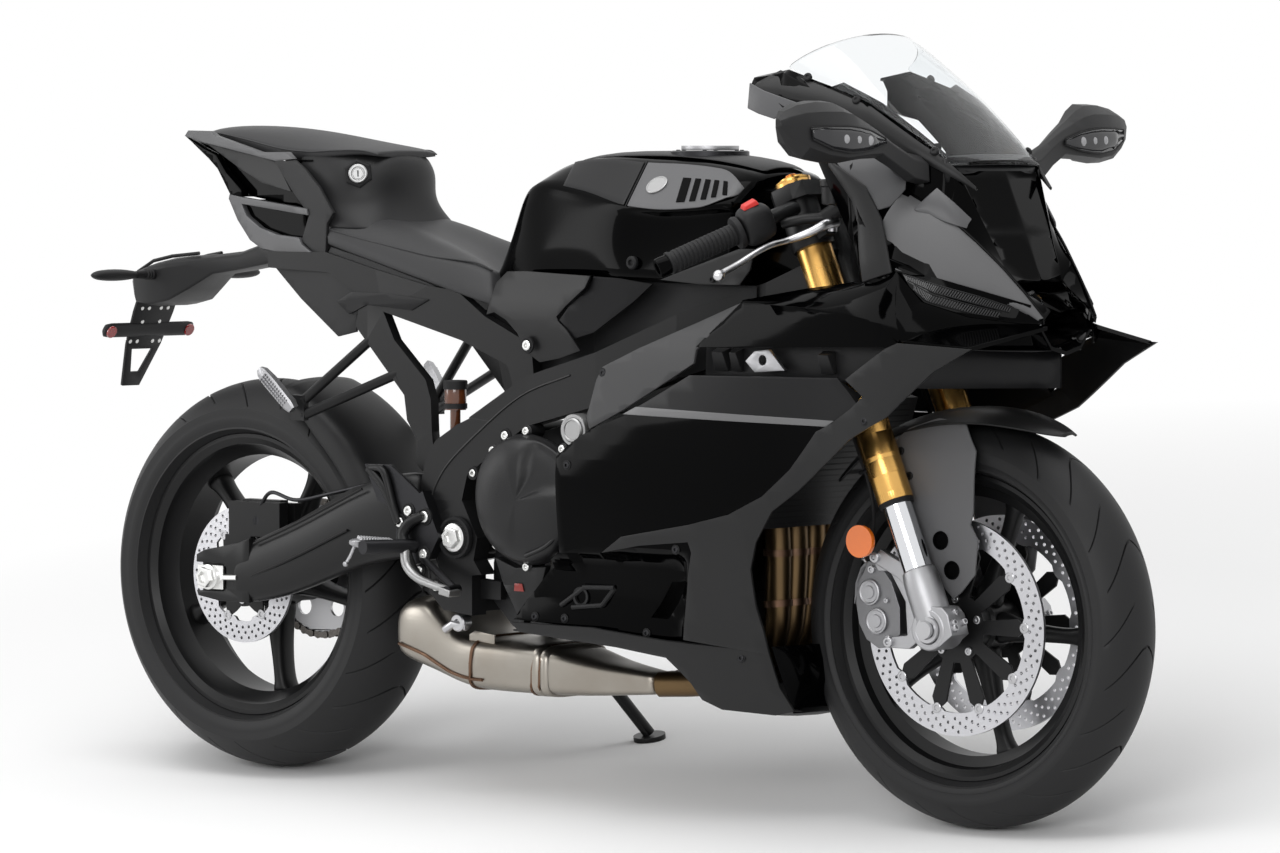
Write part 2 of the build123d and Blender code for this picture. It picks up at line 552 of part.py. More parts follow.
def chain():
    loops = []
    x1, z1 = OUTPUT_SHAFT
    d = math.hypot(x1, z1 - REAR_AXLE.Z)
    base = math.atan2(z1 - REAR_AXLE.Z, x1)
    for offset in (CHAIN_H / 2, -CHAIN_H / 2):
        big, small = REAR_SPROCKET_R + offset, FRONT_SPROCKET_R + offset
        swing = math.acos((big - small) / d)
        points = []
        steps = 24
        for i in range(steps + 1):
            a = base + swing + (2 * math.pi - 2 * swing) * i / steps
            points.append((big * math.cos(a), REAR_AXLE.Z + big * math.sin(a)))
        steps = 12
        for i in range(steps + 1):
            a = base - swing + 2 * swing * i / steps
            points.append((x1 + small * math.cos(a), z1 + small * math.sin(a)))
        loops.append(side_plate(points, CHAIN_Y - CHAIN_W / 2, CHAIN_Y + CHAIN_W / 2))
    node("chain", loops[0] - loops[1])


def rear_brake():
    y = -REAR_DISC_Y - DISC_T
    z = REAR_AXLE.Z + REAR_DISC_R
    outer = box(-8, 104, y - 24, y - 5, z - 46, z + 10)
    inner = box(-8, 104, y + DISC_T + 6, y + DISC_T + 22, z - 46, z + 8)
    bridge = box(6, 90, y - 6, y + DISC_T + 7, z + 3, z + 13)
    stay = box(-16, 40, y - 24, y - 12, REAR_AXLE.Z - 18, z - 44) - disc(0, REAR_AXLE.Z, -200, 0, AXLE_R + SEAT_GAP)
    node("rear_caliper", fused(outer, inner, bridge, stay))


# ---------------------------------------------------------------- fairings
FAIRING_Z = [150, 255, 330, 400, 500, 600, 700, 775]
FAIRING = [
    # x from the front axle, half widths at the heights in FAIRING_Z
    (-820, [120, 176, 186, 192, 200, 196, 190, 186]),
    (-620, [118, 180, 194, 208, 218, 206, 198, 190]),
    (-460, [112, 174, 196, 214, 224, 218, 212, 200]),
    (-285, [96, 150, 182, 204, 220, 228, 232, 218]),
    (-130, [80, 130, 158, 182, 204, 226, 242, 236]),
    (0, [80, 130, 158, 182, 204, 234, 245, 242]),
    (152, [80, 130, 158, 182, 204, 220, 230, 234]),
]
BELLY_SEAM = [(-768, 276), (-580, 276), (-440, 262), (-281, 255)]
SIDE_OUTLINE = [
    (-293, 772), (-237, 776), (-77, 764), (-1, 754), (25, 740), (34, 726), (148, 716), (91, 681), (0, 625),
    (-70, 578), (-131, 535), (-175, 501), (-218, 463), (-242, 432), (-261, 394), (-277, 340), (-278, 295)]
SIDE_REAR = [
    (-767, 280), (-741, 304), (-701, 332), (-661, 377), (-638, 424), (-627, 470), (-620, 516), (-604, 543),
    (-566, 565), (-572, 581), (-577, 592), (-561, 665), (-545, 680), (-357, 732)]
VENT_OUTLINE = [(-348, 707), (13, 712), (-72, 668), (-360, 670)]


def fairing_room():
    """The space inside both side fairings, clear of their walls."""
    inset = PANEL_T + SEAT_GAP
    return half_body([(FRONT_AXLE.X + x, [(0, FAIRING_Z[0])] + [(w - inset, z) for w, z in zip(widths, FAIRING_Z)]
                       + [(0, FAIRING_Z[-1])]) for x, widths in FAIRING])


def fairing_skin(side):
    return skin([(FRONT_AXLE.X + x, list(zip(widths, FAIRING_Z))) for x, widths in FAIRING], side, PANEL_T)


def side_fairings():
    seam = [(x, z + SEAT_GAP) for x, z in reversed(BELLY_SEAM)]
    outline = from_front(SIDE_OUTLINE + seam + SIDE_REAR)
    for name, side in (("side_fairing_right", -1), ("side_fairing_left", 1)):
        cut = side_plate(outline, side * 60, side * 280)
        vent = side_plate(from_front(VENT_OUTLINE), side * 60, side * 280)
        node(name, (fairing_skin(side) & cut) - vent)


def belly():
    bottom = [(-278, 211), (-272, 168), (-268, 158), (-417, 161), (-440, 179), (-458, 214), (-476, 240),
              (-583, 258), (-701, 266)]
    parts = []
    for side in (-1, 1):
        cut = side_plate(from_front(BELLY_SEAM + bottom), side * 40, side * 280)
        parts.append(fairing_skin(side) & cut)
    x = FRONT_AXLE.X
    floor = loft([[(x - 415, -111, 158), (x - 415, 111, 158), (x - 415, 111, 162), (x - 415, -111, 162)],
                  [(x - 272, -97.5, 158), (x - 272, 97.5, 158), (x - 272, 97.5, 162), (x - 272, -97.5, 162)]])
    node("belly_pan", fused(parts[0], parts[1], floor))


COWL = [
    # x from the front axle, (half width, z): screen's edge, crease, side, lower edge
    (-302, [(149, 1108), (158, 1106), (170, 1090), (172, 1064)]),
    (-245, [(147, 1117.4), (158, 1112), (176, 1070), (174, 1044)]),
    (-170, [(145, 1093), (158, 1078), (182, 1020), (172, 980)]),
    (-100, [(143, 1067.7), (156, 1030), (190, 960), (178, 860)]),
    (-75, [(136, 1051), (150, 985), (197, 900), (186, 790)]),
    (-20, [(119, 1013.7), (137, 933), (202, 842), (204, 784)]),
    (30, [(101, 971), (120, 897), (178, 818), (180, 766)]),
    (100, [(60, 808), (90, 832), (120, 790), (120, 753)]),
    (160, [(50, 768), (62, 758), (67, 753), (65, 746)]),
]
SHELF = [
    # x from the front axle, inner (half width, z), outer (half width, z) just inside the fairing
    (-290, (186, 779), (213.8, 771)),
    (-160, (190, 783), (228.4, 767)),
    (-75, (183, 792), (234.2, 762)),
    (-20, (201, 786), (236.9, 754)),
    (25, (179.4, 769.8), (236.6, 738)),
]
LENS_OUTLINE = [(-12, 824), (62, 804), (111, 779), (132, 765), (131, 756), (30, 772), (2, 790)]


def cowl_hull(gap):
    """The cowl's outer shape as a closed body, grown sideways by gap."""
    return half_body([(FRONT_AXLE.X + x, [(0, p[0][1])] + [(w + gap, z) for w, z in p] + [(0, p[-1][1])])
                      for x, p in COWL])


def inside_line(profile, thickness):
    """The profile moved in by a wall's thickness."""
    inner = []
    for i, (w, z) in enumerate(profile):
        a, b = profile[max(i - 1, 0)], profile[min(i + 1, len(profile) - 1)]
        run = math.hypot(b[0] - a[0], b[1] - a[1])
        inner.append((w + thickness * (b[1] - a[1]) / run, z - thickness * (b[0] - a[0]) / run))
    return inner


def nose_face(front, back):
    """The black face between the cowl's halves, from front to back along x."""
    nose = FRONT_AXLE.X
    return loft([[(nose + xe + front, -w, z), (nose + xc + front, 0, z), (nose + xe + front, w, z),
                  (nose + xe + back, w, z), (nose + xc + back, 0, z), (nose + xe + back, -w, z)]
                 for xe, w, xc, z in ((24, 106, 42, 968), (67, 84, 80, 879), (102, 60, 110, 806))])


def upper_cowl():
    nose = FRONT_AXLE.X
    sections = []
    for x, profile in COWL:
        outer = [(nose + x, -w, z) for w, z in profile]
        inner = [(nose + x, -w, z) for w, z in reversed(inside_line(profile, PANEL_T))]
        sections.append(outer + inner)
    right = loft(sections)
    lens = side_plate(from_front(LENS_OUTLINE), -40, -260)
    node("running_lights", both(right & lens))
    right = right - lens
    shelf = loft([[(nose + x, -wi, zi), (nose + x, -wo, zo), (nose + x, -wo, zo - 4), (nose + x, -wi, zi - 4)]
                  for x, (wi, zi), (wo, zo) in SHELF])
    chin = half_body([
        (nose + 40, [(0, 735), (100, 744), (158, 761), (168.5, 768), (168.5, 764.5), (158, 756), (100, 738), (0, 729)]),
        (nose + 130, [(0, 712), (50, 722), (80, 742), (89.5, 753), (89.5, 749.5), (81, 737), (50, 716), (0, 706)]),
        (nose + 154, [(0, 706), (36, 714), (58, 738), (67.5, 750), (67.5, 746.5), (59, 733), (36, 708), (0, 700)])])
    node("upper_cowl", fused(right, flipped(right), shelf, flipped(shelf), nose_face(0, -5), chin))
    lamp_r, lamp_x = 31.0, nose + 58
    node("headlamp", rod((lamp_x, 0, 730.4 + lamp_r + SEAT_GAP), (lamp_x + 34, 0, 730.4 + lamp_r + SEAT_GAP), lamp_r))
    wings = []
    for side in (-1, 1):
        wings.append(loft([
            [(nose + 25, side * 178, 759.9), (nose + 165, side * 62, 743.9), (nose + 165, side * 62, 737.9),
             (nose + 25, side * 178, 753.9)],
            [(nose + 25, side * 237.6, 726), (nose + 146, side * 227.1, 716), (nose + 146, side * 227.1, 710),
             (nose + 25, side * 237.6, 720)]]))
    node("winglets", wings)


def screen():
    rake = (-0.73, -0.68)
    ribs = [
        # centre x from the front axle, centre z, (half width, fall along the rake)
        (-190, 1180, [(40, 6), (80, 20), (130, 66), (147, 84)]),
        (-152, 1162, [(48, 6), (96, 28), (132, 60), (145, 76)]),
        (-78, 1089, [(44, 2), (90, 8), (126, 18), (142, 27)]),
        (-10, 1031, [(40, 1), (78, 5), (106, 11), (119, 16)]),
        (42, 984, [(34, 2), (66, 5), (90, 10), (100, 14)]),
    ]
    sections = []
    for x, z, side in ribs:
        right = [(w, fall) for w, fall in reversed(side)]
        across = [(-w, fall) for w, fall in right] + [(0, 0)] + side
        over = [(FRONT_AXLE.X + x + rake[0] * f, w, z + rake[1] * f) for w, f in across]
        under = [(FRONT_AXLE.X + x + rake[0] * (f + 3.5), w * 0.985, z + rake[1] * (f + 3.5))
                 for w, f in reversed(across)]
        sections.append(over + under)
    node("windscreen", loft(sections))


def dashboard():
    x = FRONT_AXLE.X
    panel = loft([[(x - 158, y, 985), (x - 120, y, 1060), (x - 108, y, 1055), (x - 144, y, 980)] for y in (-72, 72)])
    arms = []
    for y in (-40, 40):
        arm = rod((x - 138, y, 1012), (x + 70, y, 930), 5) - nose_face(60, -5 - SEAT_GAP)
        arms.append(min(arm.solids(), key=lambda s: s.center().X))
    node("dashboard", fused(panel, *arms))


def mirrors():
    pieces = []
    hull = cowl_hull(SEAT_GAP)
    for side in (-1, 1):
        x = FRONT_AXLE.X
        stalk = loft([
            [(x - 35, side * 100, 986), (x + 5, side * 100, 974), (x + 5, side * 100, 950), (x - 35, side * 100, 960)],
            [(x - 48, side * 262, 1036), (x - 22, side * 262, 1028), (x - 22, side * 262, 1008),
             (x - 50, side * 262, 1014)]])
        stalk = max((stalk - hull).solids(), key=lambda s: abs(s.center().Y))
        head = loft([
            [(x - 68, side * 258, 1050), (x - 20, side * 258, 1040), (x - 16, side * 258, 1000), (x - 70, side * 258, 998)],
            [(x - 80, side * 330, 1070), (x - 20, side * 330, 1062), (x - 10, side * 330, 986), (x - 74, side * 330, 988)],
            [(x - 68, side * 424, 1046), (x - 34, side * 424, 1040), (x - 32, side * 424, 1022), (x - 64, side * 424, 1022)]])
        pieces.append(stalk + head)
    node("mirrors", pieces)


# ---------------------------------------------------------------- foot controls
def rearsets():
    pieces = []
    for side in (-1, 1):
        y0, y1 = PLATE_Y_OUT + SEAT_GAP, PLATE_Y_OUT + 20
        bracket = side_plate([(466, 470), (500, 400), (478, 364), (438, 350), (410, 385), (412, 430)],
                             side * y0, side * y1)
        heel = side_plate([(345, 508), (400, 508), (466, 462), (440, 430), (372, 452)], side * (y1 - 6), side * y1)
        peg = rod((448, side * (y1 - 2), 384), (432, side * 268, 386), 11)
        pedal = rod((464, side * (y1 - 2), 366), (560, side * 196, 322), 6)
        toe = rod((556, side * 186, 323), (562, side * 220, 322), 7)
        pieces.append(fused(bracket, heel, peg, pedal, toe))
    node("rearsets", pieces)
    post = rod((502, -131, 545), (502, -131, 602), 8) - pivot_plate(-160, -100).moved(Location((0, 0, SEAT_GAP)))
    post = max(post.solids(), key=lambda s: s.center().Z)
    node("brake_reservoir", fused(rod((502, -131, 596), (502, -131, 640), 17), post))


def side_stand():
    eye_half = STAND_AXIS * (STAND_EYE_T / 2)
    eye = rod(STAND_PIVOT - eye_half, STAND_PIVOT + eye_half, 14)
    leg = rod(STAND_PIVOT, STAND_FOOT + WORLD_UP * 10, 10)
    leg = leg - rod(STAND_PIVOT - STAND_AXIS * 60, STAND_PIVOT - eye_half, 60)
    pad = Solid.make_cylinder(26, 8, Plane(origin=STAND_FOOT, z_dir=WORLD_UP))
    node("side_stand", fused(eye, leg, pad))


PEG_PIVOT_RIGHT = Vector(198, -PEG_Y, 588)
PEG_PIVOT_LEFT = Vector(198, PEG_Y, 588)
PEG_AXIS = Vector(1, 0, 0)
PEG_AXIS_LEFT = Vector(1, 0, 0)


def passenger_pegs():
    for name, pivot, side in (("passenger_peg_right", PEG_PIVOT_RIGHT, -1),
                              ("passenger_peg_left", PEG_PIVOT_LEFT, 1)):
        tip = pivot + Vector(-48, side * 18, 72)
        start = pivot + Vector(-2, side * 3, 6)
        hub = rod(pivot + Vector(-13, 0, 0), pivot + Vector(13, 0, 0), PEG_HUB_R)
        clear = box(pivot.X - 60, pivot.X + 60, side * (PEG_Y - PEG_HUB_R) - 30, side * (PEG_Y - PEG_HUB_R) + 30, 540, 700)
        clear = clear.moved(Location((0, -side * 30, 0)))
        node(name, fused(hub, rod(start, tip, 9) - clear))


# ---------------------------------------------------------------- front end
def front_end():
    uppers, lowers, calipers, reflectors = [], [], [], []
    for side in (-1, 1):
        y = side * FORK_Y
        uppers.append(fused(rod(fork_point(FORK_GOLD_BOTTOM, y), fork_point(FORK_TOP, y), FORK_TUBE_R),
                            rod(fork_point(FORK_TOP, y), fork_point(FORK_TOP + 6, y), 20)))
        slider = rod(fork_point(60, y), fork_point(FORK_GOLD_BOTTOM, y), FORK_SLIDER_R)
        foot = rod(fork_point(-22, y), fork_point(95, y), 29)
        lug = side_plate([(fork_point(t, 0, f)[0], fork_point(t, 0, f)[2]) for t, f in
                          ((80, -20), (95, -100), (60, -130), (-40, -90), (-10, -20))], y - 10, y + 10)
        lowers.append(fused(slider, foot, lug) - disc(FRONT_AXLE.X, FRONT_AXLE.Z, y - 40, y + 40, AXLE_R))
        outline = [(fork_point(t, 0, f)[0], fork_point(t, 0, f)[2]) for t, f in
                   ((90, -60), (84, -160), (-30, -172), (-62, -110), (-20, -66))]
        body = side_plate(outline, side * 38, side * (FORK_Y - 10 - SEAT_GAP))
        groove = disc(FRONT_AXLE.X, FRONT_AXLE.Z, side * 50, side * 67, FRONT_DISC_R + 6)
        calipers.append(body - groove)
        rx, rz = FRONT_AXLE.X - 130, FRONT_AXLE.Z + 124
        bracket = side_plate([(rx + 8, rz - 10), (rx - 8, rz - 4), (rx - 6, rz + 10), (rx + 92, rz - 26),
                              (rx + 88, rz - 46)], side * (FORK_Y + 8), side * (FORK_Y + 12))
        lowers[-1] = fused(lowers[-1], bracket)
        reflectors.append(disc(rx, rz, side * (FORK_Y + 12 + SEAT_GAP), side * (FORK_Y + 20), 24))
    node("fork_uppers", uppers)
    node("fork_lowers", lowers)
    node("front_calipers", calipers)
    node("front_axle", disc(FRONT_AXLE.X, FRONT_AXLE.Z, -FORK_Y - 34, FORK_Y + 34, AXLE_R))
    clamps = []
    outline = [(36, -130), (36, 130), (18, 142), (-16, 142), (-34, 122), (-48, 30),
               (-48, -30), (-34, -122), (-16, -142), (18, -142)]
    for low, high in (UPPER_CLAMP, LOWER_CLAMP):
        plate = loft([[fork_point(t, y, f) for f, y in outline] for t in (low, high)])
        for y in (-FORK_Y, FORK_Y):
            plate = plate - rod(fork_point(low - 1, y), fork_point(high + 1, y), FORK_TUBE_R)
        clamps.append(plate)
    stem = rod(steer_point(LOWER_CLAMP[0]), steer_point(UPPER_CLAMP[1] + 6), STEM_R)
    node("triple_clamps", fused(clamps[0], clamps[1], stem))
    bars = []
    for side in (-1, 1):
        y = side * FORK_Y
        clamp = ring(fork_point(634, y), fork_point(670, y), 36, FORK_TUBE_R)
        start = Vector(*fork_point(652, side * 128, 22))
        reach = Vector(-110, side * 212, -82)
        bar = rod(start, start + reach, 11)
        grip = rod(start + reach * 0.48, start + reach * 0.99, 16.5)
        switch = rod(start + reach * 0.2, start + reach * 0.46, 24)
        hinge = start + Vector(48, side * -8, -17)
        bend = hinge + Vector(-36, side * 60, -24)
        tip = hinge + Vector(-46, side * 210, -75)
        lever = fused(rod(hinge, bend, 7), rod(bend, tip, 6), rod(start + reach * 0.07, hinge + Vector(0, 0, 4), 12))
        bars.append(fused(clamp, bar, grip, switch, lever) - rod(fork_point(600, y), fork_point(720, y), FORK_TUBE_R))
    node("handlebars", bars)
    node("side_reflectors", reflectors)


def front_fender():
    x, z = FRONT_AXLE.X, FRONT_AXLE.Z
    shell_r = FRONT_TYRE_R + FENDER_GAP
    half = 66.0
    profile = [(-half, shell_r - 12), (-34, shell_r), (34, shell_r), (half, shell_r - 12), (half, shell_r - 8),
               (34, shell_r + PANEL_T), (-34, shell_r + PANEL_T), (-half, shell_r - 8)]
    face = Face(polygon([(x, y, z + r) for y, r in profile]))
    arc = Solid.revolve(face, 62, Axis((x, 0, z), (0, 1, 0)))
    arc = arc.rotate(Axis((x, 0, z), (0, 1, 0)), -31)
    tip = shell_r + 20
    plan = Solid.extrude(Face(polygon([(x - tip, -80, z), (x + 60, -80, z), (x + 172, -6, z), (x + 172, 6, z),
                                       (x + 60, 80, z), (x - tip, 80, z)])), Vector(0, 0, tip + 40))
    plates = []
    for side in (-1, 1):
        outline = [(x - 98, z + 246), (x - 89, z + 229), (x - 44, z + 100), (x, z + 42), (x + 35, z + 60), (x + 43, z + 130),
                   (x + 43, z + 220), (x + 66, z + shell_r - 18), (x + 20, z + shell_r - 11), (x - 60, z + shell_r - 17)]
        plates.append(side_plate(outline, side * (half - 4), side * half))
        at = fork_point(150, 0, 12)
        plates.append(rod((at[0], side * (half - 3), at[2]),
                          (at[0], side * (FORK_Y - FORK_SLIDER_R - SEAT_GAP), at[2]), 9))
    node("front_fender", fused(arc & plan, *plates))


def build():
    front_wheel()
    rear_wheel()
    frame()
    subframe()
    swingarm()
    shock()
    engine()
    exhaust()
    radiator()
    tank()
    tank_covers()
    seats()
    tail()
    hugger()
    chain()
    rear_brake()
    side_fairings()
    belly()
    upper_cowl()
    screen()
    dashboard()
    mirrors()
    rearsets()
    side_stand()
    passenger_pegs()
    front_end()
    front_fender()


def leaned(shape):
    """Tip the upright shape onto the side stand, with the tyres on the ground."""
    turned = shape.rotate(Axis.X, -LEAN)
    return turned.moved(Location((0, 0, REAR_DROP)))


build()
POSED = {name: [leaned(s) for s in solids] for name, solids in NODES.items()}
BOXES = [s.bounding_box() for solids in POSED.values() for s in solids]
SHIFT = (-(min(b.min.X for b in BOXES) + max(b.max.X for b in BOXES)) / 2,
         -(min(b.min.Y for b in BOXES) + max(b.max.Y for b in BOXES)) / 2, 0)
for name, solids in POSED.items():
    flat = []
    for s in solids:
        flat.extend(s.solids())
    placed = [s.moved(Location(SHIFT)) for s in flat]
    export_step(Compound(children=placed) if len(placed) > 1 else placed[0], f"parts/{name}.step")
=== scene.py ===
"""A fully faired sport motorcycle on its side stand: the looks of every piece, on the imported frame."""
import json
import math
import bmesh
import bpy
from mathutils import Matrix, Vector
from mathutils.bvhtree import BVHTree


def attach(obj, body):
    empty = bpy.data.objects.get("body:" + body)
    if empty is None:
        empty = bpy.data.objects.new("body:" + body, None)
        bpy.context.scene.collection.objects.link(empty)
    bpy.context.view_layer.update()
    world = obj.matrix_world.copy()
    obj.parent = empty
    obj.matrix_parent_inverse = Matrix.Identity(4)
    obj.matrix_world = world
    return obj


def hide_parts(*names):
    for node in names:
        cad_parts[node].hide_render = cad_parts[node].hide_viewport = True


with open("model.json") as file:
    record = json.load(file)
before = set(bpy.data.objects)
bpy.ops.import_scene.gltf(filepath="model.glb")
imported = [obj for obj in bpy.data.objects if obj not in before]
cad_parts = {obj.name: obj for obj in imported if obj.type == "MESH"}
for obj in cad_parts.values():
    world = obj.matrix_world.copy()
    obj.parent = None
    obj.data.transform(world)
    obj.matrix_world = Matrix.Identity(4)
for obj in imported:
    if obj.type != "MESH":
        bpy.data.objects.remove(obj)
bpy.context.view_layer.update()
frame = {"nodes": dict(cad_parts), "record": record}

# ------------------------------------------------------------------ places, in mm, machine upright
# X forward from the rear axle, Y to the rider's left, Z up from the ground, as in the part's source.
LEAN = math.radians(11.0)
REAR_AXLE = Vector((0.0, 0.0, 315.0))
RAKE = math.radians(22.6)
JOINTS = {j["name"]: j for j in frame["record"]["behaviour"]["joints"]}
TIP = Matrix.Rotation(-LEAN, 4, "X")
REAR_AXLE_ROW = Vector(JOINTS["rear_wheel_spin"]["pos_m"])
TO_ROW = Matrix.Translation(REAR_AXLE_ROW - TIP @ (REAR_AXLE / 1000)) @ TIP @ Matrix.Scale(0.001, 4)
FRONT_AXLE = TO_ROW.inverted() @ Vector(JOINTS["front_wheel_spin"]["pos_m"])
FORK_UP = Vector((-math.sin(RAKE), 0, math.cos(RAKE)))
FORK_AHEAD = Vector((math.cos(RAKE), 0, math.sin(RAKE)))
FORK_Y = 105.0
CHAIN_Y = 105.0
SIDES = ((-1, "right"), (1, "left"))
TURN = 2 * math.pi

# ------------------------------------------------------------------ materials
MATERIALS = {}
GRAIN_DEPTH = 0.0004
COAT_ROUGH = 0.03
SATIN = dict(grain=0.05, scale=900, rough_var=0.04)
STEEL = dict(metal=1.0, grain=0.15, scale=500, rough_var=0.08)
CAST = dict(metal=1.0, scale=650, rough_var=0.08)


def set_inputs(node, **values):
    """Values for a node's inputs; _ in a key stands for a space."""
    for key, value in values.items():
        node.inputs[key.replace("_", " ")].default_value = value


def shader_node(tree, kind, **values):
    made = tree.nodes.new("ShaderNode" + kind)
    set_inputs(made, **values)
    return made


def new_material(name):
    m = bpy.data.materials.new(name)
    m.use_nodes = True
    MATERIALS[name] = m
    return m.node_tree, m.node_tree.nodes["Principled BSDF"]


def bump(tree, height, strength):
    made = shader_node(tree, "Bump", Strength=strength, Distance=GRAIN_DEPTH)
    tree.links.new(height, made.inputs["Height"])
    tree.links.new(made.outputs["Normal"], tree.nodes["Principled BSDF"].inputs["Normal"])


def material(name, color, rough, metal=0.0, coat=0.0, grain=0.0, scale=400.0, rough_var=0.0, tint=None,
             tint_scale=6.0, spec=None, stretch=None):
    """A painted, moulded or metal finish: fine grain in its bump, and a slow change in colour and gloss."""
    tree, shader = new_material(name)
    link = tree.links.new
    set_inputs(shader, Metallic=metal, Coat_Weight=coat, Coat_Roughness=COAT_ROUGH)
    if spec is not None:
        set_inputs(shader, Specular_IOR_Level=spec)
    where = shader_node(tree, "TexCoord").outputs["Object"]
    slow = shader_node(tree, "TexNoise", Scale=tint_scale, Detail=4)
    link(where, slow.inputs["Vector"])
    mix = shader_node(tree, "Mix")
    mix.data_type = "RGBA"
    mix.inputs[6].default_value = (*color, 1)
    mix.inputs[7].default_value = (*(tint or [c * 1.25 for c in color]), 1)
    link(slow.outputs["Fac"], mix.inputs[0])
    link(mix.outputs[2], shader.inputs["Base Color"])
    spread = shader_node(tree, "MapRange", To_Min=max(rough - rough_var, 0.02), To_Max=rough + rough_var)
    link(slow.outputs["Fac"], spread.inputs["Value"])
    link(spread.outputs["Result"], shader.inputs["Roughness"])
    if stretch:
        mapping = shader_node(tree, "Mapping", Scale=stretch)
        link(where, mapping.inputs["Vector"])
        where = mapping.outputs["Vector"]
    if grain:
        fine = shader_node(tree, "TexNoise", Scale=scale, Detail=3)
        link(where, fine.inputs["Vector"])
        bump(tree, fine.outputs["Fac"], grain)
    return tree


def leather(name):
    """Seat cover: a small pebble grain over a soft black."""
    tree = material(name, (0.024, 0.024, 0.025), 0.5, rough_var=0.06, spec=0.3)
    cells = shader_node(tree, "TexVoronoi", Scale=620)
    cells.feature = "DISTANCE_TO_EDGE"
    tree.links.new(shader_node(tree, "TexCoord").outputs["Object"], cells.inputs["Vector"])
    bump(tree, cells.outputs["Distance"], 0.5)


def clear(name, color, rough, ior):
    set_inputs(new_material(name)[1], Base_Color=(*color, 1), Roughness=rough, Transmission_Weight=1.0, IOR=ior)


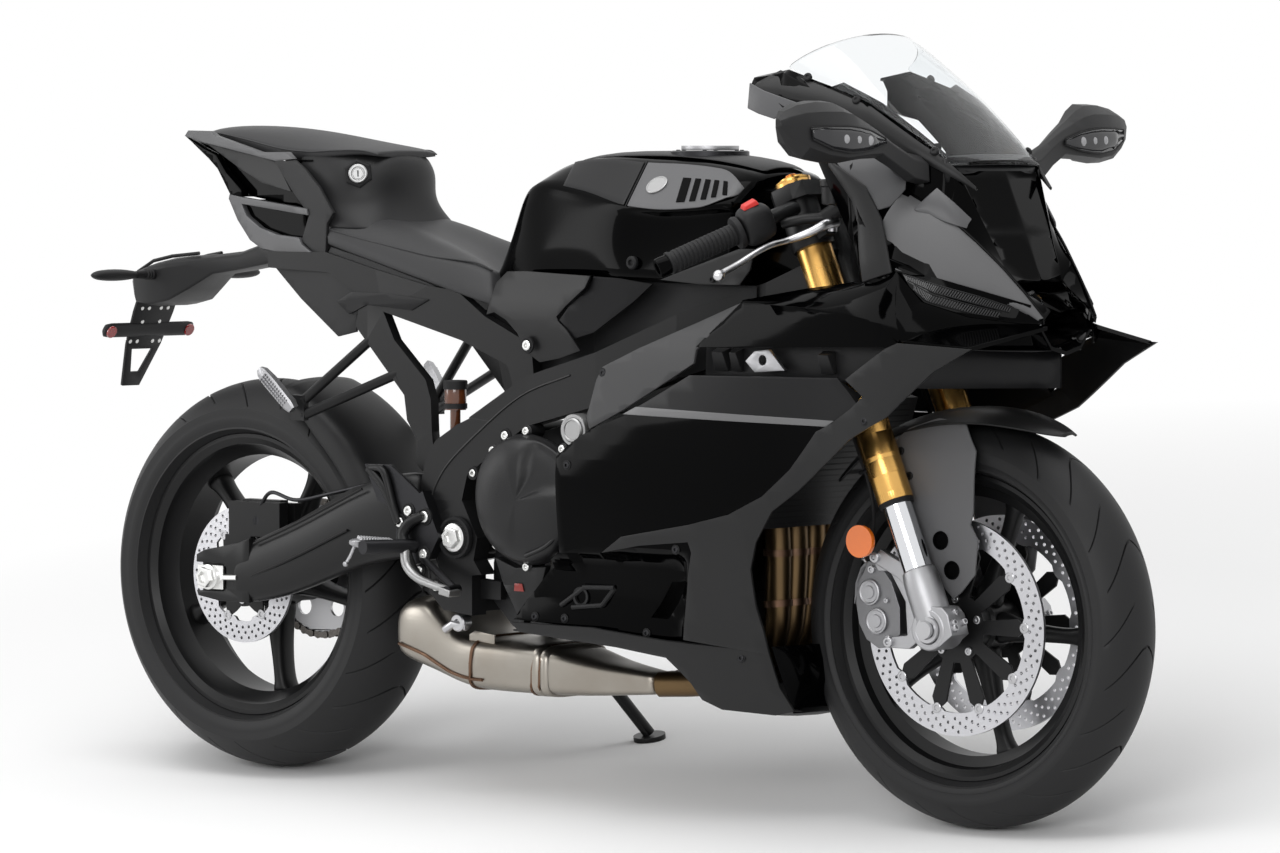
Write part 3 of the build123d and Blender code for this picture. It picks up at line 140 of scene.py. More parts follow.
def make_materials():
    """All finishes, by name."""
    # paint and plastic
    material("gloss_black", (0.0005, 0.0005, 0.0006), 0.08, rough_var=0.02, spec=0.045, grain=0.012, scale=160)
    material("satin_paint", (0.0128, 0.0128, 0.0131), 0.40, spec=0.22, **SATIN)
    # near black for the inside of slots, holes and sockets: painted shade
    material("hole_black", (0.0008, 0.0008, 0.0009), 0.7, spec=0.05, grain=0.2)
    material("cowl_grey", (0.1020, 0.1020, 0.1044), 0.36, spec=0.3, **SATIN)
    material("fender_grey", (0.1105, 0.1105, 0.1139), 0.42, spec=0.25, **SATIN)
    material("satin_dark", (0.005, 0.005, 0.0055), 0.38, spec=0.2, **SATIN)
    material("arm_paint", (0.034, 0.034, 0.035), 0.40, spec=0.25, **SATIN)
    # grey paint; on the cowl cheek and the tank's front facet this grey is a painted highlight and a painted reflection
    material("grey_paint", (0.0653, 0.0653, 0.0682), 0.42, **SATIN)
    material("stripe_grey", (0.11, 0.11, 0.112), 0.4, grain=0.04, scale=900, rough_var=0.04)
    material("satin_black", (0.0055, 0.0055, 0.0058), 0.38, grain=0.08, scale=700, rough_var=0.06, spec=0.25)
    material("satin_plastic", (0.0110, 0.0110, 0.0115), 0.48, grain=0.25, scale=1100, rough_var=0.05, spec=0.25)
    material("matte_plastic", (0.0065, 0.0065, 0.007), 0.52, grain=0.45, scale=1300, rough_var=0.06, spec=0.25)
    material("engine_black", (0.007, 0.007, 0.0075), 0.42, grain=0.5, scale=500, rough_var=0.08, spec=0.3)
    material("tyre", (0.0095, 0.0095, 0.010), 0.55, grain=0.3, scale=600, rough_var=0.08, spec=0.3)
    material("rubber", (0.006, 0.006, 0.0065), 0.62, grain=0.5, scale=900, rough_var=0.05, spec=0.25)
    material("red_switch", (0.55, 0.02, 0.015), 0.35)
    leather("seat_cover")
    # metal
    material("lever_alloy", (0.55, 0.55, 0.56), 0.28, metal=1.0, grain=0.12, scale=500, rough_var=0.05)
    material("orange_anodised", (0.55, 0.16, 0.02), 0.3, metal=1.0, grain=0.1, rough_var=0.05)
    material("weld_brown", (0.20, 0.13, 0.09), 0.4, metal=1.0, grain=0.4, scale=400, rough_var=0.1,
             tint=(0.10, 0.05, 0.03), tint_scale=60)
    material("bright_steel", (0.62, 0.62, 0.61), 0.3, **STEEL)
    material("steel", (0.42, 0.42, 0.43), 0.32, **STEEL)
    material("satin_alloy", (0.30, 0.30, 0.30), 0.42, metal=1.0, grain=0.3, scale=500, rough_var=0.06)
    material("gunmetal", (0.14, 0.13, 0.12), 0.35, metal=1.0, grain=0.2, scale=500, rough_var=0.08)
    material("header_steel", (0.10, 0.068, 0.038), 0.38, metal=1.0, grain=0.25, scale=160, rough_var=0.12,
             tint=(0.05, 0.035, 0.022), tint_scale=14)
    material("gold", (0.80, 0.48, 0.15), 0.27, metal=1.0, grain=0.1, scale=500, rough_var=0.05,
             tint=(0.62, 0.34, 0.09), tint_scale=10)
    material("chrome", (0.66, 0.67, 0.69), 0.1, metal=1.0, rough_var=0.03)
    material("cast_alloy", (0.34, 0.34, 0.35), 0.42, grain=0.55, **CAST)
    material("caliper_alloy", (0.17, 0.17, 0.175), 0.42, grain=0.55, **CAST)
    material("dark_alloy", (0.03, 0.03, 0.032), 0.4, grain=0.4, **CAST)
    material("bronze_steel", (0.20, 0.13, 0.06), 0.35, metal=1.0, grain=0.2, scale=300, rough_var=0.1,
             tint=(0.09, 0.06, 0.035), tint_scale=8)
    # bare welded steel, brushed, with straw and brown heat colours in patches
    material("raw_steel", (0.40, 0.38, 0.345), 0.36, metal=1.0, grain=0.25, scale=260, rough_var=0.1,
             tint=(0.23, 0.20, 0.165), tint_scale=9, stretch=(0.12, 1, 1))
    # ground brake face
    material("disc_steel", (0.50, 0.50, 0.52), 0.3, metal=1.0, grain=0.35, scale=900, rough_var=0.06,
             stretch=(1, 0.05, 1))
    # lenses, lamps and glass
    material("lamp_rib", (0.012, 0.012, 0.013), 0.34, rough_var=0.05, grain=0.1)
    material("smoke_lens", (0.022, 0.022, 0.024), 0.1, spec=0.5, rough_var=0.03, grain=0.05)
    material("oil_red", (0.22, 0.02, 0.015), 0.3, rough_var=0.05, grain=0.1)
    material("orange_lens", (0.75, 0.16, 0.01), 0.12, coat=1.0, grain=0.9, scale=350)
    material("red_lens", (0.25, 0.006, 0.006), 0.12, coat=1.0)
    material("amber_plastic", (0.09, 0.026, 0.008), 0.15, coat=0.6)
    material("mirror_glass", (0.8, 0.8, 0.82), 0.02, metal=1.0)
    material("lamp_dark", (0.001, 0.001, 0.0012), 0.08, spec=0.25, rough_var=0.02)
    material("screen_black", (0.004, 0.004, 0.005), 0.12, spec=0.4, rough_var=0.02)
    material("led_clear", (0.30, 0.30, 0.31), 0.15, rough_var=0.04, grain=0.05)
    clear("screen_clear", (0.93, 0.95, 0.96), 0.0, 1.2)
    clear("lamp_lens", (0.75, 0.76, 0.78), 0.03, 1.4)


# ------------------------------------------------------------------ floor, light and camera
def largest(tree, a, b):
    made = shader_node(tree, "Math")
    made.operation = "MAXIMUM"
    tree.links.new(a, made.inputs[0])
    tree.links.new(b, made.inputs[1])
    return made.outputs[0]


def set_world():
    """White where the camera, glass or a reflection sees it, and softer as a light."""
    world = bpy.data.worlds.new("studio")
    bpy.context.scene.world = world
    world.use_nodes = True
    tree = world.node_tree
    rays = shader_node(tree, "LightPath").outputs
    seen = largest(tree, rays["Is Camera Ray"], rays["Is Transmission Ray"])
    level = shader_node(tree, "MapRange", To_Min=0.45, To_Max=1.0)
    tree.links.new(largest(tree, seen, rays["Is Glossy Ray"]), level.inputs["Value"])
    set_inputs(tree.nodes["Background"], Color=(1, 1, 1, 1))
    tree.links.new(level.outputs["Result"], tree.nodes["Background"].inputs["Strength"])


def floor():
    """A pale disc that goes over into the white of the world at its rim."""
    bpy.ops.mesh.primitive_circle_add(vertices=96, radius=9, fill_type="NGON")
    disc = bpy.context.object
    disc.name = "floor"
    m = bpy.data.materials.new("floor_white")
    m.use_nodes = True
    tree = m.node_tree
    link = tree.links.new
    shader = tree.nodes["Principled BSDF"]
    set_inputs(shader, Base_Color=(0.94, 0.94, 0.94, 1), Roughness=0.9, Specular_IOR_Level=0.1)
    reach = shader_node(tree, "VectorMath")
    reach.operation = "LENGTH"
    link(shader_node(tree, "TexCoord").outputs["Object"], reach.inputs[0])
    edge = shader_node(tree, "MapRange", From_Min=1.3, From_Max=2.6)
    link(reach.outputs["Value"], edge.inputs["Value"])
    mix = shader_node(tree, "MixShader")
    link(edge.outputs["Result"], mix.inputs[0])
    link(shader.outputs[0], mix.inputs[1])
    link(shader_node(tree, "Emission", Strength=1.0).outputs[0], mix.inputs[2])
    link(mix.outputs[0], tree.nodes["Material Output"].inputs["Surface"])
    disc.data.materials.append(m)


def lights():
    """Three soft lamps.  name, place, what it looks at, size, watts."""
    for name, at, aim, size, watts in (("overhead", (0.2, -0.4, 4.2), (0, 0, 0.5), (4.5, 3.0), 120),
                                       ("key_side", (2.2, -4.2, 2.6), (0, 0, 0.6), (2.2, 1.6), 60),
                                       ("rear_side", (-3.6, -2.6, 2.2), (-0.3, 0, 0.6), (1.6, 2.2), 40)):
        light = bpy.data.lights.new(name, "AREA")
        light.shape = "RECTANGLE"
        light.size, light.size_y = size
        light.energy = watts
        holder = link_object(name, light)
        holder.location = at
        holder.rotation_euler = (Vector(aim) - Vector(at)).to_track_quat("-Z", "Y").to_euler()


# The camera was solved from the wheels, discs and axles in the photo.
CAMERA_AT = (6728.9, -7142.1, 984.5)
CAMERA_RIGHT = (0.7676, 0.6409, 0.0007)
CAMERA_UP = (-0.0289, 0.0334, 0.9990)
FOCAL_PIXELS = 6040.6
PHOTO_WIDTH = 1280.0
SENSOR = 36
FAR_CLIP = 60


def camera():
    data = bpy.data.cameras.new("camera")
    data.sensor_width = SENSOR
    data.lens = FOCAL_PIXELS / PHOTO_WIDTH * SENSOR
    data.clip_end = FAR_CLIP
    holder = link_object("camera", data)
    right, up = Vector(CAMERA_RIGHT).normalized(), Vector(CAMERA_UP).normalized()
    back = right.cross(up).normalized()
    up = back.cross(right)
    turn = TIP.to_3x3() @ Matrix((right, up, back)).transposed()
    holder.matrix_world = Matrix.Translation(TO_ROW @ Vector(CAMERA_AT)) @ turn.to_4x4()
    bpy.context.scene.camera = holder


# ------------------------------------------------------------------ CAD nodes, by finish
KEPT = {
    "satin_black": ("frame", "subframe", "swingarm", "rear_shock", "rear_caliper", "side_stand", "triple_clamps",
                    "handlebars", "front_rim", "rear_rim"),
    "steel": ("swingarm_pivot", "rear_axle", "front_axle", "rear_sprocket", "chain"),
    "engine_black": ("engine_block", "engine_covers", "radiator"),
    "header_steel": ("exhaust_headers",),
    "raw_steel": ("muffler",),
    "gloss_black": ("fuel_tank", "tail_cowl", "side_fairing_right", "side_fairing_left", "belly_pan", "upper_cowl",
                    "winglets"),
    "grey_paint": ("tank_covers",),
    "seat_cover": ("rider_seat", "passenger_seat"),
    "satin_plastic": ("tail_covers",),
    "red_lens": ("taillight",),
    "matte_plastic": ("plate_holder", "rear_indicators", "hugger", "dashboard", "mirrors"),
    "screen_clear": ("windscreen",),
    "lamp_dark": ("running_lights",),
    "dark_alloy": ("rearsets",),
    "amber_plastic": ("brake_reservoir",),
    "cast_alloy": ("fuel_cap_lid", "passenger_peg_right", "passenger_peg_left", "fork_lowers", "front_calipers"),
    "gold": ("fork_uppers",),
    "satin_paint": ("front_fender",),
    "orange_lens": ("side_reflectors",),
    "lamp_lens": ("headlamp",),
    "tyre": ("front_tyre", "rear_tyre"),
    "disc_steel": ("front_discs", "rear_disc"),
}


NODE_EDGE, NODE_ANGLE = 1.6, 28
MERGE_REACH = 0.00002


def dress_kept():
    """Soft edges and a real finish on each CAD node."""
    for finish, names in KEPT.items():
        for name in names:
            node = frame["nodes"].get(name)
            if node is None:
                continue
            node.data.materials.clear()
            node.data.materials.append(MATERIALS[finish])
            node.modifiers.new("weld", "WELD").merge_threshold = 2.5 * MERGE_REACH
            soften(node, NODE_EDGE, NODE_ANGLE, "round")


# ------------------------------------------------------------------ ways of making a piece
EDGE_ANGLE, SHELL_ANGLE = 35, 50


def link_object(name, data):
    obj = bpy.data.objects.new(name, data)
    bpy.context.collection.objects.link(obj)
    return obj


def soften(obj, width, angle, name="soft"):
    bevel = obj.modifiers.new(name, "BEVEL")
    bevel.width = width / 1000
    bevel.segments = 2
    bevel.limit_method = "ANGLE"
    bevel.angle_limit = math.radians(angle)


def add_wall(obj, thick, offset=-1, even=False):
    wall = obj.modifiers.new("wall", "SOLIDIFY")
    wall.thickness = thick / 1000
    wall.offset = offset
    wall.use_even_offset = even


def shaded(name, mesh, sharp):
    """The mesh as an object, smooth but for its edges sharper than this."""
    mesh.shade_smooth()
    if sharp:
        mesh.set_sharp_from_angle(angle=math.radians(sharp))
    return link_object(name, mesh)


def keep_object(obj, finish, body, replaces=()):
    """Gives the object its finish and its body, and hides the CAD nodes that it stands for."""
    obj.data.materials.clear()
    obj.data.materials.append(MATERIALS[finish])
    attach(obj, body)
    if replaces:
        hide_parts(*replaces)
    return obj


def piece(name, verts, faces, finish, body="chassis", replaces=(), subdiv=0, thick=0.0, edge=0.0, sharp=40,
          creases=(), weld=False):
    """A mesh piece from points in machine millimetres.  creases: (vertex, vertex, weight)."""
    mesh = bpy.data.meshes.new(name)
    mesh.from_pydata([TO_ROW @ Vector(v) for v in verts], [], faces)
    mesh.validate()
    work = bmesh.new()
    work.from_mesh(mesh)
    if weld:
        bmesh.ops.remove_doubles(work, verts=work.verts, dist=MERGE_REACH)
    bmesh.ops.recalc_face_normals(work, faces=work.faces)
    if creases:
        layer = work.edges.layers.float.get("crease_edge") or work.edges.layers.float.new("crease_edge")
        work.verts.ensure_lookup_table()
        for a, b, weight in creases:
            found = work.edges.get((work.verts[a], work.verts[b]))
            if found:
                found[layer] = weight
    work.to_mesh(mesh)
    work.free()
    obj = shaded(name, mesh, 0 if subdiv else sharp)
    if thick:
        add_wall(obj, thick)
    if subdiv:
        rounder = obj.modifiers.new("rounder", "SUBSURF")
        rounder.levels = rounder.render_levels = subdiv
    if edge:
        soften(obj, edge, EDGE_ANGLE)
    return keep_object(obj, finish, body, replaces)


def join_parts(parts):
    """Several (verts, faces) as one."""
    verts, faces = [], []
    for more_verts, more_faces in parts:
        base = len(verts)
        verts.extend(more_verts)
        faces.extend([[i + base for i in f] for f in more_faces])
    return verts, faces


def merge(name, parts, finish, body="chassis", replaces=(), **more):
    return piece(name, *join_parts(parts), finish, body, replaces, **more)


def flip(points, side):
    """Points given for the left side, on either side."""
    return [(x, side * y, z) for x, y, z in points]


def angles(count):
    return [TURN * k / count for k in range(count)]


def grid(rows, close=False, caps=False):
    """Quads over rows of points; close joins each row's ends, and caps fill the first and last rows."""
    verts = [tuple(p) for row in rows for p in row]
    n = len(rows[0])
    faces = []
    for i in range(len(rows) - 1):
        for j in range(n if close else n - 1):
            k = (j + 1) % n
            faces.append([i * n + j, i * n + k, (i + 1) * n + k, (i + 1) * n + j])
    if caps:
        faces.append(list(reversed(range(n))))
        faces.append([(len(rows) - 1) * n + j for j in range(n)])
    return verts, faces


def solid(rows):
    """A closed form over rows of points."""
    return grid(rows, close=True, caps=True)


def bands(stations, across):
    """Rows for a strip: each station is (x, z, half width), and across runs from -1 to 1."""
    return [[(x, w * k, z) for k in across] for x, z, w in stations]


def lathe(profile, at, axis=(0, 1, 0), steps=48):
    """A turned form.  profile: (distance along the axis, radius)."""
    axis = Vector(axis).normalized()
    side = axis.orthogonal().normalized()
    other = axis.cross(side)
    at = Vector(at)
    rows = []
    for a in angles(steps):
        spoke = side * math.cos(a) + other * math.sin(a)
        rows.append([at + axis * d + spoke * r for d, r in profile])
    return grid(rows + rows[:1])


def tube(points, radius, steps=12, taper=None):
    """A round bar or hose through smooth points.  taper gives the radius at each one."""
    points = [Vector(p) for p in points]
    rows = []
    for i, p in enumerate(points):
        ahead = points[min(i + 1, len(points) - 1)] - points[max(i - 1, 0)]
        ahead.normalize()
        if i == 0:
            side = ahead.orthogonal().normalized()
        else:
            side = (side - ahead * side.dot(ahead)).normalized()
        other = ahead.cross(side)
        r = taper[i] if taper else radius
        rows.append([p + (side * math.cos(a) + other * math.sin(a)) * r for a in angles(steps)])
    return solid(rows)


def curve_points(points, count=16):
    """A smooth line through the given points."""
    pts = [Vector(p) for p in points]
    pts = [pts[0] * 2 - pts[1]] + pts + [pts[-1] * 2 - pts[-2]]
    out = []
    for i in range(1, len(pts) - 2):
        a, b, c, d = pts[i - 1:i + 3]
        for k in range(count):
            t = k / count
            out.append(0.5 * ((b * 2) + (c - a) * t + (a * 2 - b * 5 + c * 4 - d) * t * t
                              + (b * 3 - a - c * 3 + d) * t * t * t))
    out.append(pts[-2])
    return out


def block(corner_a, corner_b):
    """A box between two corners."""
    (x0, y0, z0), (x1, y1, z1) = corner_a, corner_b
    return solid([[(x, y0, z0), (x, y1, z0), (x, y1, z1), (x, y0, z1)] for x in (x0, x1)])


def filled(name, lines, at=(0, 0), depth=0.0):
    """The flat area inside the first line and outside the others, in metres, with x and z as x and y."""
    curve = bpy.data.curves.new(name, "CURVE")
    curve.dimensions = "2D"
    curve.fill_mode = "BOTH"
    curve.extrude = depth
    for line in lines:
        spline = curve.splines.new("POLY")
        spline.points.add(len(line) - 1)
        for point, (x, z) in zip(spline.points, line):
            point.co = ((x + at[0]) / 1000, (z + at[1]) / 1000, 0, 1)
        spline.use_cyclic_u = True
    holder = link_object(name, curve)
    mesh = bpy.data.meshes.new_from_object(holder.evaluated_get(bpy.context.evaluated_depsgraph_get()))
    bpy.data.objects.remove(holder)
    return mesh


def cut_plate(name, outer, holes, y0, y1, finish, body, at=(0, 0), replaces=(), edge=0.0):
    """A plate in the wheel's plane with holes cut through it.  Outlines are (x, z) round the point at."""
    mesh = filled(name, [outer] + list(holes), at, abs(y1 - y0) / 2000)
    middle = (y0 + y1) / 2
    verts = [(v.co.x * 1000, middle - v.co.z * 1000, v.co.y * 1000) for v in mesh.vertices]
    faces = [list(p.vertices) for p in mesh.polygons]
    return piece(name, verts, faces, finish, body, replaces, edge=edge, weld=True)


def flat_fill(outer, holes=()):
    """A bmesh of the flat outline, x and z as x and y, with its holes open."""
    mesh = filled("flat", [outer] + list(holes))
    work = bmesh.new()
    work.from_mesh(mesh)
    bpy.data.meshes.remove(mesh)
    bmesh.ops.remove_doubles(work, verts=work.verts, dist=MERGE_REACH)
    for v in work.verts:
        v.co = Vector((v.co.x * 1000, v.co.y * 1000, 0))
    return work


def face_outward(work, wanted):
    """Turns all faces so that, on the whole, they look the wanted way."""
    bmesh.ops.recalc_face_normals(work, faces=work.faces)
    if sum(f.normal.dot(wanted) * f.calc_area() for f in work.faces) < 0:
        bmesh.ops.reverse_faces(work, faces=work.faces)


def finish_shell(name, work, sharp, thick, edge, finish, body, replaces, even=False):
    """A bmesh in machine millimetres as a walled shell with soft edges."""
    for v in work.verts:
        v.co = TO_ROW @ v.co
    mesh = bpy.data.meshes.new(name)
    work.to_mesh(mesh)
    work.free()
    obj = shaded(name, mesh, sharp)
    add_wall(obj, thick, even=even)
    soften(obj, edge, SHELL_ANGLE)
    return keep_object(obj, finish, body, replaces)


def panel(name, outer, finish, surface, side, lift=0.0, thick=3.0, edge=1.0, cell=26.0, holes=(), body="chassis",
          replaces=()):
    """A thin shell cut to an (x, z) outline and laid on a surface.  surface(x, z) gives how far out it is."""
    work = flat_fill(outer, holes)
    for k, normal in ((0, (1, 0, 0)), (1, (0, 1, 0))):
        values = [v.co[k] for v in work.verts]
        at = min(values) + cell * 0.5
        while at < max(values):
            geom = work.verts[:] + work.edges[:] + work.faces[:]
            bmesh.ops.bisect_plane(work, geom=geom, dist=0.01, plane_co=Vector(normal) * at, plane_no=normal)
            at += cell
    for v in work.verts:
        x, z = v.co.x, v.co.y
        v.co = Vector((x, side * (surface(x, z) + lift), z))
    work.normal_update()
    face_outward(work, Vector((0, side, 0)))
    return finish_shell(name, work, 30, thick, edge, finish, body, replaces, even=True)


def shell(name, rows, finish, lift=0.0, thick=3.0, edge=1.0, replaces=(), out=(0, 1, 0.2)):
    """A thin shell over rows of points for the left side, and its mirror image."""
    for side, word in SIDES:
        verts, faces = grid([flip(row, side) for row in rows])
        mesh = bpy.data.meshes.new("shell")
        mesh.from_pydata([Vector(v) for v in verts], [], faces)
        work = bmesh.new()
        work.from_mesh(mesh)
        bpy.data.meshes.remove(mesh)
        face_outward(work, Vector((out[0], side * out[1], out[2])))
        work.normal_update()
        for v, n in [(v, v.normal.copy()) for v in work.verts]:
            v.co += n * lift
        finish_shell(name + "_" + word, work, 32, thick, edge, finish, "chassis", replaces)


def between(line_a, line_b, steps, bulge=0.0, way=(0, 1, 0)):
    """Rows of points from one line to another, swelling between them."""
    rows = []
    for i in range(steps + 1):
        t = i / steps
        push = Vector(way) * bulge * 4 * t * (1 - t)
        rows.append([tuple(Vector(a) * (1 - t) + Vector(b) * t + push) for a, b in zip(line_a, line_b)])
    return rows


def smooth_at(keys, values, at):
    """A smooth curve through the values."""
    at = min(max(at, keys[0]), keys[-1])
    i = max(k for k in range(len(keys) - 1) if keys[k] <= at or k == 0)
    gap = keys[i + 1] - keys[i]
    t = (at - keys[i]) / gap

    def slope(k):
        lo, hi = max(k - 1, 0), min(k + 1, len(keys) - 1)
        return (values[hi] - values[lo]) / (keys[hi] - keys[lo]) * gap
    a, b, sa, sb = values[i], values[i + 1], slope(i), slope(i + 1)
    return (a * (2 * t ** 3 - 3 * t * t + 1) + sa * (t ** 3 - 2 * t * t + t) + b * (3 * t * t - 2 * t ** 3)
            + sb * (t ** 3 - t * t))


def clamp(value, low=0.0, high=1.0):
    return max(low, min(high, value))


def round_line(x, z, r, count=12):
    return [(x + r * math.cos(a), z + r * math.sin(a)) for a in angles(count)]


def polar(r, a):
    return r * math.cos(a), r * math.sin(a)


def bolt(at, axis, r, height):
    """A cap screw's head with a hex socket."""
    return lathe([(0, r), (height * 0.82, r), (height, r * 0.84), (height, r * 0.5), (height * 0.4, r * 0.45),
                  (height * 0.4, 0.01)], at, axis, 12)


# ------------------------------------------------------------------ wheels
# Places of the mesh's columns within one pitch of the tread, and which of them a groove lowers, with its reach
# across the tread from 0 at the middle to 1 at the shoulder.
TREAD_COLUMNS = [0.0, 0.05, 0.085, 0.092, 0.108, 0.115, 0.16, 0.21, 0.26, 0.31, 0.36, 0.41, 0.46, 0.51, 0.565,
                 0.572, 0.586, 0.593, 0.64, 0.69, 0.74, 0.79, 0.84, 0.89, 0.95]
GROOVES = {3: (0.12, 0.86), 4: (0.12, 0.86), 15: (0.42, 0.97), 16: (0.42, 0.97)}
GROOVE_DEPTH = 4.0
PITCHES = 12
SPOKES = 5
DISC_HOLES, HOLE_R = 40, 2.7


def tyre(name, axle, radius, width, shoulder_r, rim_w, body, node):
    """A sport tyre: grooves run along slanted columns of the mesh, so their edges are clean."""
    half = width / 2 - 0.5
    bead = rim_w / 2 - 6
    rise = radius - shoulder_r
    arc_r = (half ** 2 + rise ** 2) / (2 * rise)
    ys = [half * math.sin(math.pi / 2 * i / 13) for i in range(-13, 14)]
    profile = [(y, radius - arc_r + math.sqrt(max(arc_r ** 2 - y ** 2, 0))) for y in ys]
    wall = [(half, shoulder_r - 8), (half - 0.6, shoulder_r - 14), (half - 0.2, shoulder_r - 16),
            (half - 2.5, 244), (half - 4.5, 238), (half - 3.5, 235), (bead + 6, 229), (bead, 226)]
    wall = [(y, r) for y, r in wall if r < shoulder_r]
    profile = [(-y, r) for y, r in reversed(wall)] + profile + wall
    columns = []
    for pitch in range(PITCHES):
        for k, mark in enumerate(TREAD_COLUMNS):
            column = []
            for y, r in profile:
                t = min(abs(y) / half, 1.0)
                turn = (pitch + mark) / PITCHES * TURN + 0.34 * t ** 1.4 - 0.05 * t
                low, high = GROOVES.get(k, (1, 0))
                cut = GROOVE_DEPTH if low < t < high and r >= shoulder_r else 0.0
                column.append((axle.x + (r - cut) * math.sin(turn), y, axle.z + (r - cut) * math.cos(turn)))
            columns.append(column)
    piece(name, *grid(columns + columns[:1]), "tyre", body, [node], sharp=32, weld=True)


def rim(name, axle, rim_w, hub_half, hub_r, spoke_half, spoke_turn, body, node):
    """A spoked rim: barrel, hub and five spokes."""
    h = rim_w / 2
    barrel = [(-h, 221), (-h, 227), (-h + 4, 228), (-h + 5, 222), (-h + 9, 216), (-h + 20, 215), (-h * 0.5, 200),
              (h * 0.5, 200), (h - 20, 215), (h - 9, 216), (h - 5, 222), (h - 4, 228), (h, 227), (h, 221),
              (h - 8, 211), (h - 20, 208), (h * 0.45, 192), (-h * 0.45, 192), (-h + 20, 208), (-h + 8, 211), (-h, 221)]
    hub = [(-hub_half, 15), (-hub_half, hub_r - 3), (-hub_half + 3, hub_r), (-spoke_half - 4, hub_r),
           (-spoke_half, hub_r + 5), (spoke_half, hub_r + 5), (spoke_half + 4, hub_r), (hub_half - 3, hub_r),
           (hub_half, hub_r - 3), (hub_half, 15)]
    merge(name, [lathe(barrel, axle, steps=120), lathe(hub, axle, steps=64)], "satin_black", body, [node], sharp=30,
          weld=True)
    # sections of a spoke from the hub out: radius, half width, half depth, sideways bow
    sections = ((hub_r - 6, 30, spoke_half, 0), (hub_r + 14, 21, spoke_half - 1, 1),
                (hub_r + 60, 13.5, spoke_half - 4, 3), (160, 11, spoke_half - 6, 3),
                (184, 14, spoke_half - 5, 1), (197, 24, spoke_half - 2, 0))
    corners = ((-1, -0.55), (-0.55, -1), (0.55, -1), (1, -0.55), (1, 0.55), (0.55, 1), (-0.55, 1), (-1, 0.55))
    spokes = []
    for i in range(SPOKES):
        turn = spoke_turn + i * TURN / SPOKES
        out = Vector((math.sin(turn), 0, math.cos(turn)))
        across = Vector((math.cos(turn), 0, -math.sin(turn)))
        spokes.append(solid([[axle + out * r + across * (wide * u + bow) + Vector((0, deep * v, 0))
                              for u, v in corners] for r, wide, deep, bow in sections]))
    merge(name + "_spokes", spokes, "satin_black", body, [node], subdiv=2)


def round_points(radii):
    """An outline with one point at each radius, spread evenly round the middle."""
    return [polar(r, a) for r, a in zip(radii, angles(len(radii)))]


def brake_disc(name, axle, y0, y1, radius, inner, hub_r, arms, body, node):
    """A drilled disc, its carrier with arms, and the buttons and bolts on its outer face."""
    rows = 4 if radius > 140 else 3
    holes = []
    for i in range(DISC_HOLES):
        for k in range(rows):
            r = inner + 5 + (radius - 3 - (inner + 5)) * (k + 0.5) / rows
            a = TURN * (i + 0.42 * k) / DISC_HOLES
            holes.append(round_line(*polar(r, a), HOLE_R, 8))
    inside = round_points([inner - (5 if i % 8 in (0, 1) else 0) for i in range(80)])
    cut_plate(name, round_points([radius] * 144), holes + [inside], y0, y1, "disc_steel", body, (axle.x, axle.z),
              [node])
    reach = {0: inner - 3, 1: inner - 3, 7: inner - 14, 2: inner - 14}
    spider = round_points([reach.get(i % 8, hub_r + 22) for i in range(arms * 8)])
    low, high = min(y0, y1) + 0.6, max(y0, y1) - 0.6
    cut_plate(name + "_carrier", spider, [round_line(0, 0, hub_r - 8, 40)], low, high, "satin_black", body,
              (axle.x, axle.z), [node], edge=0.8)
    buttons = []
    out = 1 if y1 + y0 > 0 else -1
    face = out * max(abs(y0), abs(y1))
    for i in range(arms):
        a = TURN * (i + 0.0625) / arms
        spot = (axle.x + (inner - 1) * math.cos(a), face - out * 2, axle.z + (inner - 1) * math.sin(a))
        buttons.append(lathe([(0, 8), (3, 8), (3.6, 7), (3.6, 4), (2.4, 3.4), (2.4, 0.01)], spot, (0, out, 0), 16))
        if i % 2 == 0:
            a = TURN * (i + 0.5) / arms
            spot = (axle.x + (hub_r + 12) * math.cos(a), face - out, axle.z + (hub_r + 12) * math.sin(a))
            buttons.append(bolt(spot, (0, out, 0), 6, 4))
    merge(name + "_buttons", buttons, "steel", body, sharp=30)


def wheels():
    """Both wheels, with the discs that turn with them."""
    tyre("front_tyre_tread", FRONT_AXLE, 300, 120, 262, 89, "front_wheel", "front_tyre")
    tyre("rear_tyre_tread", REAR_AXLE, 315, 180, 268, 140, "rear_wheel", "rear_tyre")
    rim("front_wheel_rim", FRONT_AXLE, 89, 54, 38, 18, math.radians(20), "front_wheel", "front_rim")
    rim("rear_wheel_rim", REAR_AXLE, 140, 76, 50, 26, math.radians(30), "rear_wheel", "rear_rim")
    for side, word in reversed(SIDES):
        brake_disc("front_disc_" + word, FRONT_AXLE, side * 56, side * 61, 160, 126, 30, 10, "front_wheel",
                   "front_discs")
    brake_disc("rear_disc_plate", REAR_AXLE, -78, -83, 110, 76, 30, 6, "rear_wheel", "rear_disc")


# ------------------------------------------------------------------ the fairing's skin
SKIN_Z = [150, 255, 330, 400, 500, 600, 700, 775]
SKIN = [
    (600, [120, 176, 186, 192, 200, 196, 190, 186]), (800, [118, 180, 194, 208, 218, 206, 198, 190]),
    (960, [112, 174, 196, 214, 224, 218, 212, 200]), (1135, [96, 150, 182, 204, 220, 228, 232, 218]),
    (1290, [80, 130, 158, 182, 204, 226, 242, 236]), (1420, [80, 130, 158, 182, 204, 234, 245, 242]),
    (1572, [80, 130, 158, 182, 204, 220, 230, 234])]


def skin(x, z):
    return smooth_at([row[0] for row in SKIN], [smooth_at(SKIN_Z, row[1], z) for row in SKIN], x)


